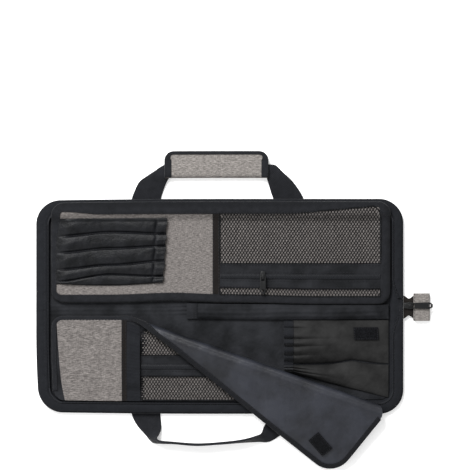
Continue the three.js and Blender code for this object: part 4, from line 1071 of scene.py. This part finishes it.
columns = [t ** 1.5 for t in shares(80)]
form = cover(columns, shares(90), first_place, first_height, 1.0)
first = piece("first_pocket_cloth", form, POCKET_CLOTH, ["handle_pocket_1"])
form = cover(columns, shares(60), second_place, second_height, 1.0)
second = piece("second_pocket_cloth", form, POCKET_CLOTH, ["handle_pocket_2"])
elastic_place = in_box(POCKET_LEFT, POCKET_LEFT + MOUTH - 0.2, POCKET_TOP, POCKET_TOP - HEM_DEPTH)
form = cover(shares(10), shares(120), elastic_place, lambda u, v: hem_height(v), 1.2)
elastic = piece("pocket_elastic", run_by_place(form, False), GUSSET, ["pocket_hem"])
parts = []
for x in (POCKET_LEFT + 3.2, POCKET_LEFT + 11.2):
    row = [(x, POCKET_TOP - HEM_DEPTH * v, hem_height(v) + 1.45) for v in shares(90)]
    parts.append(stitch_line(row, 1.8, 1.3))
elastic_stitches = piece("pocket_elastic_stitches", joined(parts), THREAD)

# Loop patch: a small rectangle of loop tape, sewn all round to the first pocket near its closed end, where
# the hooks of the flap meet it when the flap is laid flat.
LOOPS = black_cloth("loop_pile", "050506", "131417", 0.95, 0.0016, 0.0012, 0.0009)
LOOP_FROM_MOUTH, LOOP_FROM_TOP = 77.5, 9.0
LOOP_LONG, LOOP_WIDE = 32.0, 16.0


def loop_low(u, v):
    along = (LOOP_FROM_MOUTH + LOOP_LONG * u) / (POCKET_RIGHT - POCKET_LEFT - MOUTH)
    return first_height(along, (LOOP_FROM_TOP + LOOP_WIDE * v) / POCKET_DEPTH) + 1.25


def loop_place(u, v):
    x = POCKET_LEFT + MOUTH + LOOP_FROM_MOUTH + LOOP_LONG * u + 1.2 * v
    return x, POCKET_TOP - LOOP_FROM_TOP - LOOP_WIDE * v


form = cover(shares(20), shares(12), loop_place, loop_low, 1.6)
piece("loop_fastener", form, LOOPS, ["loop_patch"])
ring = [(u, 0.06) for u in shares(12)] + [(0.97, v) for v in shares(6)]
ring += [(1 - u, 0.94) for u in shares(12)] + [(0.03, 1 - v) for v in shares(6)]
ring = [(min(0.97, max(0.03, u)), min(0.94, max(0.06, v))) for u, v in ring]
row = [(*loop_place(u, v), loop_low(u, v) + 1.75) for u, v in ring]
piece("loop_stitches", stitch_line(row, 1.8, 1.2), THREAD)

# Turned flap: a padded board sewn in along the bottom, heather in front and smooth black cloth behind. Its
# free corner is turned over a slanting fold, stands up round it, and hangs past the edge of the shell.
# Painted light and shade: the back's two colours lie far apart and mix in broad patches about 5 cm across,
# brighter and darker zones that stand in for the play of light on the satin.
BACK_CLOTH = black_cloth("flap_back_cloth", "121317", "272930", 0.4, 0.05, 0.0024, 0.0004, 0.3)
FLAP_MIDDLE = 7.5
FLAP_BOARD = 3.2
FLAP_CORNER = 13.0
FREE_CORNER = 28.0
TIGHT_ROLL, WIDE_ROLL = 3.8, 5.4
HANG_START, HANG_RUN, HANG_FALL = 62.0, 42.0, 10.7
SLOPE_RUN, SLOPE_FALL = 48.0, 3.5
flap_edges = (-217.2, 220.6, -123.7, -14.0)
flap_outline = rounded_outline(*flap_edges, FLAP_CORNER, step=3.0, free_corner=FREE_CORNER)
fold_from = Vector((-119.5, -14.0))
fold_to = Vector((192.0, -123.7))
fold_along = (fold_to - fold_from).normalized()
fold_across = Vector((-fold_along.y, fold_along.x))


def flap_place(x, y, height):
    """A place on the flap, given where it would lie if the flap were flat, carried round the fold."""
    start = Vector((x, y)) - fold_from
    along = start.dot(fold_along)
    roll = lerp(TIGHT_ROLL, WIDE_ROLL, smoothstep(along / 90))
    past = start.dot(fold_across) + roll
    turn = min(math.pi, max(0.0, past / roll))
    beyond = max(0.0, past - math.pi * roll)
    before = min(0.0, past)
    across = -roll + before + (roll - height) * math.sin(turn) - beyond
    z = FLAP_MIDDLE + roll * (1 - math.cos(turn)) + height * math.cos(turn)
    point = fold_from + fold_along * along + fold_across * across
    if turn > 2:
        loose = smoothstep(beyond / 12) * smoothstep((110 - beyond) / 30)
        z -= HANG_FALL * smoothstep((beyond - HANG_START) / HANG_RUN)
        z -= SLOPE_FALL * smoothstep(beyond / SLOPE_RUN)
        z += loose * (0.9 * ripple(along, beyond, 80, 4) + 0.35 * ripple(along, beyond, 26, 6))
        z += 1.5 * math.exp(-((beyond - 4) / 5) ** 2)
    return (point.x, point.y, z)


flat_places = []


def flap_front(x, y):
    flat_places.append((x, y))
    return flap_place(x, y, FLAP_BOARD / 2)


def with_runs(corners):
    """A path of corners, each with how far along the path it lies."""
    run, path = 0.0, []
    for p in corners:
        if path:
            run += math.dist(path[-1][:2], p[:2])
        path.append((*p[:4], run))
    return path


reach = [p[0] * fold_across.x + p[1] * fold_across.y for p in flap_outline]
roll_start = fold_from.dot(fold_across) - WIDE_ROLL
roll_end = roll_start + math.pi * WIDE_ROLL
rows = [lerp(min(reach) + 0.2, roll_start - 0.5, t) for t in shares(44)]
rows += [lerp(roll_start, roll_end, t) for t in shares(26)]
rows += [lerp(roll_end + 1, max(reach) - 0.2, t) for t in shares(54)]
form = slab(
    flap_outline, rows, 130, flap_front, lambda x, y: flap_place(x, y, -FLAP_BOARD / 2), tuple(fold_along),
)
flap = piece("flap_board", form, (SHADED_HEATHER, BACK_CLOTH, LINING), ["knife_flap"])
for face in flap.data.polygons:
    corner = min(face.vertices)
    x, y = flat_places[corner % len(flat_places)]
    turned = (Vector((x, y)) - fold_from).dot(fold_across) > 0
    behind_net = x > -104 and -122 < y < -30
    edge = corner < len(flat_places) <= max(face.vertices)
    if corner >= len(flat_places):
        face.material_index = 1
    elif edge or not (turned or behind_net):
        face.material_index = 2

left, right, low_y = flap_edges[0], flap_edges[1], flap_edges[2] + FLAP_CORNER
free = [p[:4] for p in flap_outline if p[1] > low_y + 0.5]
side = sorted([p for p in free if p[2] > 0.999 and p[0] > 0], key=lambda p: p[1])
middle = sorted([p for p in free if abs(p[2]) <= 0.999], key=lambda p: math.atan2(p[3], p[2]) * 1e4 - p[0])
other = sorted([p for p in free if p[2] < -0.999 and p[0] < 0], key=lambda p: -p[1])
flap_edge = with_runs([(right, low_y, 1.0, 0.0)] + side + middle + other + [(left, low_y, -1.0, 0.0)])
section = edge_section(PIPING_FACE, PIPING_FACE, FLAP_BOARD / 2, PIPING_CLOTH)
form = bound_edge(flap_edge, lambda p: section, flap_place, False)
piece("flap_edge_binding", form, BINDING, ["flap_binding"])
piece("flap_stitches", joined([
    stitch_line(
        inner_path(flap_edge, lambda p: 3.8, lambda x, y: flap_place(x, y, height)), lift=0.3, sink=0.3,
    )
    for height in (FLAP_BOARD / 2 + 1.15, -FLAP_BOARD / 2 - 1.15)
]), THREAD)

# Patch on the flap: heather canvas sewn to its flat part at the left, with one corner cut off round.
# Grosgrain tape with two rows of stitches covers its right edge.
ON_FLAP = 9.4
PATCH_BOX = (-211.9, -127.6, -123.4, -17.5)
PATCH_CHAMFER = 6.2
EDGE_TAPE_BOX = (-127.3, -121.0, -123.4, -17.5)


def patch_left(y):
    corner = max(0.0, y - (PATCH_BOX[3] - PATCH_CHAMFER)) ** 2 / PATCH_CHAMFER
    down = -20 - y
    return PATCH_BOX[0] + corner + 0.06 * max(0.0, down) + 3.2 * max(0.0, (down - 60) / 46) ** 2.4


def patch_place(u, v):
    y = lerp(PATCH_BOX[2], PATCH_BOX[3], v)
    return lerp(patch_left(y), PATCH_BOX[1], u), y


piece("flap_patch", cover(
    shares(60), shares(70), patch_place,
    lambda u, v: ON_FLAP + 0.25 * (1 + ripple(u * 80, v * 100, 30, 8)) * (1 - abs(2 * v - 1) ** 3), 1.0,
), SHADED_HEATHER, ["flap_heather"])
form = tape_strip(EDGE_TAPE_BOX, lambda x, y: ON_FLAP, TAPE_CLOTH)
piece("flap_grosgrain", form, TAPE, ["flap_edge_tape"])
piece("flap_tape_stitches", edge_rows(EDGE_TAPE_BOX, lambda x, y: ON_FLAP, 1.0), THREAD)

# Band beside the patch: flat black elastic, sewn down at both ends and loose between them, where it arches
# up from the flap.
ELASTIC_BOX = (-120.7, -103.6, -123.4, -20.5)
ELASTIC_FOOT = 12.0
ELASTIC_ARCH = 6.0
ELASTIC_SLANT = 6.0


def elastic_low(u, v):
    foot = ELASTIC_FOOT / (ELASTIC_BOX[3] - ELASTIC_BOX[2])
    arch = smoothstep((v - foot) / 0.14) * smoothstep((1 - foot - v) / 0.14)
    return ON_FLAP + ELASTIC_ARCH * arch + 0.14 * math.sin(v * 150)


left, right, bottom, top = ELASTIC_BOX
piece("scissor_elastic", run_by_place(cover(
    shares(8), shares(120), lambda u, v: (lerp(left, right, u), lerp(top - ELASTIC_SLANT * u, bottom, v)),
    elastic_low, 1.2,
), False), GUSSET, ["scissor_band"])

# Net pocket of the flap: two pieces of net with a zip band between them, like the divider's, sewn down at
# the left and cut off along the fold.
NET_START = -103.2
UPPER_NET, ZIP_BAND, LOWER_NET = (-63.8, -31.0), (-90.6, -64.1), (-122.2, -90.9)


def fold_x(y):
    """Where what is sewn on the flap ends, just short of the fold."""
    return fold_from.x + (y - fold_from.y) * fold_along.x / fold_along.y - WIDE_ROLL / -fold_along.y - 2


def band_place(u, v):
    y = lerp(*ZIP_BAND, v)
    return lerp(NET_START, fold_x(y), u), y


for name, (bottom, top), node in (
    ("flap_net_upper", UPPER_NET, "flap_net_1"), ("flap_net_lower", LOWER_NET, "flap_net_2"),
):
    corners = [(NET_START, bottom), (fold_x(bottom), bottom), (fold_x(top), top), (NET_START, top)]
    piece(name, net_strands(corners, lambda x, y: ON_FLAP), NET, [node])
piece("flap_zip_band", run_by_place(cover(
    shares(50), shares(12), band_place,
    lambda u, v: ON_FLAP + 0.2 * (1 + ripple(u * 90, v * 26, 18, 3)), BAND_CLOTH,
)), LINING, ["flap_zip_tape"])
teeth_low, teeth_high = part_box("flap_zip_teeth")
teeth_y = ((teeth_low[1] + teeth_high[1]) / 2 - mid_y) * 1000
form = straight_coil(NET_START + 1, fold_x(teeth_y + 3) - 1, teeth_y, z_of("flap_zip_teeth", 0))
piece("flap_zip_coil", form, COIL, ["flap_zip_teeth"])
parts = [
    stitch_line([(NET_START + 1, y, ON_FLAP + 1.4), (fold_x(y) - 1, y, ON_FLAP + 1.4)])
    for y in (ZIP_BAND[1] - 1.5, ZIP_BAND[0] + 1.5, teeth_y + 5.4, teeth_y - 5.4)
]
x = NET_START + 1.2
parts.append(stitch_line([(x, LOWER_NET[0], ON_FLAP + 1.3), (x, UPPER_NET[1], ON_FLAP + 1.3)]))
piece("flap_pocket_stitches", joined(parts), THREAD)

# Hook patch: a small rectangle of hook tape, sewn all round to the black back of the turned corner. Its
# nylon hooks stand in close rows.
HOOKS = black_cloth("hook_pile", "030304", "131417", 0.8, 0.0012, 0.0015, 0.0016)
HOOK_X, HOOK_Y = 180.8, -36.6
HOOK_LONG, HOOK_WIDE = 28.0, 17.0
HOOK_TURN = math.radians(10)
HOOK_UNDER = -FLAP_BOARD / 2 - 0.6


def hook_at(u, v, height):
    a, b = -HOOK_LONG * (u - 0.5), -HOOK_WIDE * (v - 0.5)
    x = HOOK_X + a * math.cos(HOOK_TURN) - b * math.sin(HOOK_TURN)
    return flap_place(x, HOOK_Y + a * math.sin(HOOK_TURN) + b * math.cos(HOOK_TURN), height)


grid = [(u, v) for v in shares(12) for u in shares(24)]
points = [hook_at(u, v, HOOK_UNDER - 1.6) for u, v in grid] + [hook_at(u, v, HOOK_UNDER) for u, v in grid]
piece("hook_fastener", (points, sheet_faces(13, 25)), HOOKS, ["hook_patch"])
corners = [(0.04, 0.07), (0.96, 0.07), (0.96, 0.93), (0.04, 0.93), (0.04, 0.07)]
row = []
for (a, b), (c, d) in zip(corners, corners[1:]):
    row += [hook_at(lerp(a, c, t), lerp(b, d, t), HOOK_UNDER - 1.75) for t in shares(12)]
piece("hook_stitches", stitch_line(row, 1.8, 1.2), THREAD)

# Handles: 38 mm black webbing. Each end is sewn flat under the shell, and towards the middle the webbing
# is folded in half along its length. The plain one has turned up on its edge.
WEBBING = ribbed("webbing", "131416", "2e2f34", 0.0014, 0.0019)
WEBBING_COLUMNS = 14
ROWS_PER_SPAN = 9
wrap_middle = (z_of("handle_wrap", 0) + z_of("handle_wrap", 1)) / 2


def spline(rows):
    """A smooth curve through rows of numbers."""
    made = []
    for i in range(len(rows) - 1):
        a, b, c, d = rows[max(0, i - 1)], rows[i], rows[i + 1], rows[min(len(rows) - 1, i + 2)]
        for k in range(ROWS_PER_SPAN):
            t = k / ROWS_PER_SPAN
            made.append([
                0.5 * (
                    2 * q + (r - p) * t + (2 * p - 5 * q + 4 * r - s) * t * t
                    + (3 * q - p - 3 * r + s) * t ** 3
                )
                for p, q, r, s in zip(a, b, c, d)
            ])
    return made + [list(rows[-1])]


def webbing(stations):
    """Webbing along stations of its two edges: (x, y, z, x, y, z, thickness, arch)."""
    rows = spline(stations)
    middles = [(Vector(row[:3]) + Vector(row[3:6])) / 2 for row in rows]
    uppers, lowers, runs = [], [], []
    run = 0.0
    for i, row in enumerate(rows):
        a, b = Vector(row[:3]), Vector(row[3:6])
        before, after = middles[max(0, i - 1)], middles[min(len(rows) - 1, i + 1)]
        run += (middles[i] - before).length
        normal = (b - a).cross(after - before).normalized()
        for v in shares(WEBBING_COLUMNS):
            edge = 1 - 0.25 * abs(2 * v - 1) ** 8
            point = a.lerp(b, v) + normal * row[7] * math.sin(math.pi * v)
            uppers.append(tuple(point + normal * row[6] / 2 * edge))
            lowers.append(tuple(point - normal * row[6] / 2 * edge))
            runs.append((run / 1000, (b - a).length * v / 1000))
    return uppers + lowers, sheet_faces(len(rows), WEBBING_COLUMNS + 1), runs + runs


piece("top_handle_webbing", webbing([
    (-114.6, 129.5, 1.1, -76.6, 129.5, 1.1, 1.6, 0),
    (-114.8, 139.5, 1.1, -76.4, 140.5, 1.1, 1.6, 0.1),
    (-110.6, 151.5, 1.2, -73.0, 151.5, 1.8, 1.7, 0.8),
    (-104.8, 162.6, 1.8, -69.4, 161.0, 3.6, 2.0, 1.6),
    (-95.0, 169.8, 4.0, -66.5, 166.0, 5.6, 2.4, 1.4),
    (-84.6, 176.6, 6.0, -65.6, 168.2, 6.8, 2.8, 0.8),
    (-73.6, 183.6, wrap_middle, -64.0, 170.2, wrap_middle, 3.2, 0.3),
    (-60.0, 187.0, wrap_middle, -58.0, 170.5, wrap_middle, 3.4, 0),
    (0.0, 187.0, wrap_middle, 0.0, 170.5, wrap_middle, 3.4, 0),
    (52.0, 187.0, wrap_middle, 50.0, 170.5, wrap_middle, 3.4, 0),
    (64.0, 184.8, wrap_middle, 60.0, 170.4, wrap_middle, 3.2, 0.3),
    (73.0, 183.4, 7.0, 61.4, 166.6, 6.6, 2.8, 0.8),
    (82.4, 174.4, 6.0, 62.6, 162.4, 5.6, 2.5, 1.6),
    (93.6, 164.2, 3.4, 64.6, 155.4, 3.8, 2.0, 1.8),
    (102.6, 152.4, 1.6, 66.9, 147.6, 2.0, 1.7, 1.0),
    (108.8, 141.0, 1.1, 69.6, 140.0, 1.1, 1.6, 0.3),
    (109.4, 129.5, 1.1, 71.2, 129.5, 1.1, 1.6, 0),
]), WEBBING, ["top_handle"])
piece("bottom_handle_webbing", webbing([
    (-115.2, -129.5, 1.1, -77.4, -129.5, 1.1, 1.6, 0),
    (-115.0, -141.0, 1.1, -77.4, -141.0, 1.1, 1.6, 0.1),
    (-112.2, -149.0, 1.1, -76.6, -151.0, 1.5, 1.7, -0.6),
    (-106.0, -158.5, 1.2, -76.4, -160.5, 3.8, 1.9, -1.2),
    (-97.0, -168.0, 1.4, -79.5, -167.0, 9.0, 2.3, -1.0),
    (-88.0, -177.0, 1.6, -82.2, -171.6, 14.8, 2.8, -0.5),
    (-78.0, -178.2, 1.8, -77.2, -175.2, 17.4, 3.3, 0),
    (-60.0, -178.4, 1.8, -60.0, -176.8, 17.7, 3.4, 0),
    (-30.0, -180.0, 1.8, -30.0, -179.3, 17.7, 3.4, 0),
    (0.0, -178.8, 1.8, 0.0, -177.2, 17.7, 3.4, 0),
    (28.0, -176.8, 1.8, 28.0, -173.8, 17.3, 3.3, 0),
    (50.0, -176.0, 1.6, 48.5, -168.2, 15.0, 3.0, 0),
    (64.5, -176.0, 1.2, 54.6, -164.6, 11.6, 2.6, -0.4),
    (80.0, -167.6, 1.1, 57.4, -157.0, 6.4, 2.1, -0.8),
    (97.0, -156.0, 1.1, 62.6, -149.0, 2.2, 1.8, -0.5),
    (109.4, -142.0, 1.1, 70.6, -141.0, 1.1, 1.6, 0),
    (109.6, -129.5, 1.1, 71.6, -129.5, 1.1, 1.6, 0),
]), WEBBING, ["bottom_handle"])

# Wrap of the top handle: a padded heather panel folded round the folded webbing, open at its far side,
# with black binding on the two ends and the open side.
WRAP_LEFT, WRAP_RIGHT = -70.8, 62.2
WRAP_BOTTOM = 166.9
WRAP_WIDTH = 34.0
WRAP_HALF = 5.5
WRAP_WALL = 2.8
WRAP_CORNER = 11.0
WRAP_BEND = 4.2
WRAP_FACE_ENDS, WRAP_FACE_TOP = 8.0, 3.3


def wrap_top(x):
    """How far up the panel reaches: its two far corners are round."""
    near = min(x - WRAP_LEFT, WRAP_RIGHT - x)
    short = WRAP_CORNER - math.sqrt(max(0.0, WRAP_CORNER ** 2 - max(0.0, WRAP_CORNER - near) ** 2))
    return WRAP_BOTTOM + WRAP_WIDTH - short


def wrap_section(x):
    top = wrap_top(x)
    swell = 1 + 0.05 * ripple(x, 0, 45, 3)
    outer, inner = [], []
    for t in shares(34):
        s = 2 * t - 1
        share = (abs(s) - 0.16) / 0.84
        if share < 0:
            angle = s / 0.16 * math.pi / 2
            y = WRAP_BOTTOM + WRAP_BEND * (1 - math.cos(angle))
            z = WRAP_HALF * math.sin(angle) * 0.93
        else:
            y = lerp(WRAP_BOTTOM + WRAP_BEND, top, share)
            z = math.copysign(WRAP_HALF * (0.93 + 0.07 * math.sin(math.pi * share)) * swell, s)
        outer.append((x, y, wrap_middle + min(WRAP_HALF, max(-WRAP_HALF, z))))
    gap = WRAP_HALF - WRAP_WALL
    for t in shares(12):
        s = 1 - 2 * t
        y = lerp(WRAP_BOTTOM + WRAP_WALL, top, abs(s))
        inner.append((x, y, wrap_middle + math.copysign(min(gap, gap * abs(s) * 4), s)))
    return outer + inner


def stacked(rings):
    return [p for ring in rings for p in ring], skin_faces(len(rings), len(rings[0]), False)


def wrap_face(p):
    """How far the binding reaches over the panel: it is broad on the two ends."""
    return lerp(WRAP_FACE_TOP, WRAP_FACE_ENDS, abs(p[2]) ** 3)


def wrap_binding(p):
    """The binding's section is thinner where the panel bends round the webbing."""
    up = min(1.0, (p[1] - WRAP_BOTTOM) / WRAP_BEND)
    half = WRAP_HALF * (0.16 + 0.84 * math.sqrt(1 - (1 - up) ** 2)) if abs(p[2]) > 0.99 else WRAP_HALF
    return edge_section(wrap_face(p), wrap_face(p), half, 0.9, 0.2)


places = [WRAP_LEFT + WRAP_CORNER * t ** 1.6 for t in shares(10)]
places += [lerp(WRAP_LEFT + WRAP_CORNER, WRAP_RIGHT - WRAP_CORNER, t) for t in shares(60)][1:-1]
places += [WRAP_RIGHT - WRAP_CORNER * (1 - t) ** 1.6 for t in shares(10)]
wrap = piece("wrap_panel", stacked([wrap_section(x) for x in places]), HEATHER, ["handle_wrap"])
feet = [WRAP_BOTTOM + 0.5 + (WRAP_WIDTH - WRAP_CORNER - 1.5) * t ** 1.5 for t in shares(12)]
wrap_outline = rounded_outline(
    WRAP_LEFT, WRAP_RIGHT, WRAP_BOTTOM, WRAP_BOTTOM + WRAP_WIDTH, WRAP_CORNER, step=2.0,
)
far_side = [p for p in wrap_outline if p[1] > WRAP_BOTTOM + WRAP_WIDTH - WRAP_CORNER - 0.1]
wrap_edge = with_runs(
    [(WRAP_RIGHT, y, 1.0, 0.0) for y in feet] + far_side + [(WRAP_LEFT, y, -1.0, 0.0) for y in feet[::-1]]
)
form = bound_edge(wrap_edge, wrap_binding, lambda x, y, height: (x, y, wrap_middle + height), False)
piece("wrap_edge_binding", form, BINDING, ["wrap_binding"])
stitched = [p for p in wrap_edge if p[1] >= WRAP_BOTTOM + 4]
piece("wrap_stitches", joined([
    stitch_line(
        inner_path(stitched, lambda p: wrap_face(p) - 1.2, lambda x, y: (x, y, z)), lift=0.2, sink=0.2,
    )
    for z in (wrap_middle + WRAP_HALF + 1.1, wrap_middle - WRAP_HALF - 1.1)
]), THREAD)

# Tail of the zip: the two tapes run on past the shell and end in a folded heather tab. The slider rests at
# its end with its pull lying on the tab.
TAIL_MIDDLE = 4.9
START_HALF, NECK_HALF, END_HALF = 15.0, 11.2, 15.6
TAB_DEPTH, TAB_HALF, TAB_SLOT = 36.0, 2.2, 14.0


def x_ends(node):
    """The left and right ends of a node, in millimetres."""
    return [(corner[0] - mid_x) * 1000 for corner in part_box(node)]


def tail_half(u):
    """Half the width of the tail, which is drawn in to a neck next to the shell."""
    x = u * (tail_end - tail_start)
    if x < 7:
        return lerp(START_HALF, NECK_HALF, smoothstep(x / 7))
    return lerp(NECK_HALF, END_HALF, smoothstep((x - 7) / 8))


def tab_section(y):
    outer = [(tab_left, TAB_HALF - 0.3), (tab_left + 0.4, TAB_HALF)]
    outer += [(lerp(tab_left + 1, tab_right - TAB_HALF, t), TAB_HALF) for t in shares(6)]
    for t in shares(8)[1:-1]:
        angle = math.pi / 2 - math.pi * t
        outer.append((tab_right - TAB_HALF + TAB_HALF * math.cos(angle), TAB_HALF * math.sin(angle)))
    outer += [(lerp(tab_right - TAB_HALF, tab_left + 1, t), -TAB_HALF) for t in shares(6)]
    outer += [(tab_left + 0.4, -TAB_HALF), (tab_left, -TAB_HALF + 0.3)]
    inner = [(tab_left, -1.0), (tab_left + TAB_SLOT, -1.0), (tab_left + TAB_SLOT, 1.0), (tab_left, 1.0)]
    from_centre = abs(y - TAIL_CENTRE)
    taper = 0.45 * smoothstep(from_centre / 17 - 0.6)
    flatter = 1 - 0.12 * smoothstep(from_centre / 3 - 5)
    return [(x - taper, y, TAIL_MIDDLE + z * flatter) for x, z in outer + inner]


tail_start, tail_end = x_ends("zip_tail")
tail_low = z_of("zip_tail", 0)
tab_left, tab_right = x_ends("tail_tab")
piece("tail_tapes", run_by_place(cover(
    shares(40), shares(20),
    lambda u, v: (lerp(tail_start, tail_end, u), TAIL_CENTRE + tail_half(u) * (2 * v - 1)),
    lambda u, v: tail_low + 0.5 * math.sin(math.pi * v * 3) ** 2 * (1 - smoothstep((u - 0.3) / 0.3)), 1.3,
)), TAPE, ["zip_tail"])
tab_low = TAIL_CENTRE - TAB_DEPTH / 2
form = stacked([tab_section(tab_low + TAB_DEPTH * t) for t in shares(26)])
piece("tab_cloth", form, HEATHER, ["tail_tab"])
x = tab_left + 1.4
piece("tab_stitches", joined([
    stitch_line([(x, tab_low + 1.5, z), (x, tab_low + TAB_DEPTH - 1.5, z)], lift=0.2, sink=0.2)
    for z in (TAIL_MIDDLE + TAB_HALF + 0.1, TAIL_MIDDLE - TAB_HALF - 0.1)
]), THREAD)

# Sliders and pulls: cast metal under black enamel. Their edges are rounded by the casting, and each pull
# hangs by its window from the loop of its slider.
ENAMEL = new_material("black_enamel", {
    "Base Color": paint("0b0c0d"), "Roughness": 0.36, "Specular IOR Level": 0.3, "Coat Weight": 0.1,
})[0]


def cast_copy(name, node, rounding, body):
    """The node's own solid, with its edges rounded by rounding millimetres."""
    source = bpy.data.objects[node]
    mesh = source.data.copy()
    mesh.name = name
    mesh.transform(source.matrix_world)
    mesh.materials.clear()
    mesh.materials.append(ENAMEL)
    work = bmesh.new()
    work.from_mesh(mesh)
    bmesh.ops.remove_doubles(work, verts=work.verts, dist=1e-6)
    bmesh.ops.dissolve_limit(work, angle_limit=0.02, verts=work.verts, edges=work.edges)
    sharp = [e for e in work.edges if len(e.link_faces) == 2 and e.calc_face_angle(0) > 0.5]
    bmesh.ops.bevel(
        work, geom=sharp, offset=rounding / 1000, segments=3, profile=0.5, affect="EDGES", clamp_overlap=True,
    )
    work.to_mesh(mesh)
    work.free()
    finished(name, mesh, [node], body, sharp=35)


cast_copy("main_slider_cast", "main_slider", 0.35, "roll")
cast_copy("main_pull_cast", "main_pull", 0.4, "main_pull")
cast_copy("pocket_slider_cast", "pocket_slider", 0.3, "roll")
cast_copy("pocket_pull_cast", "pocket_pull", 0.35, "pocket_pull")
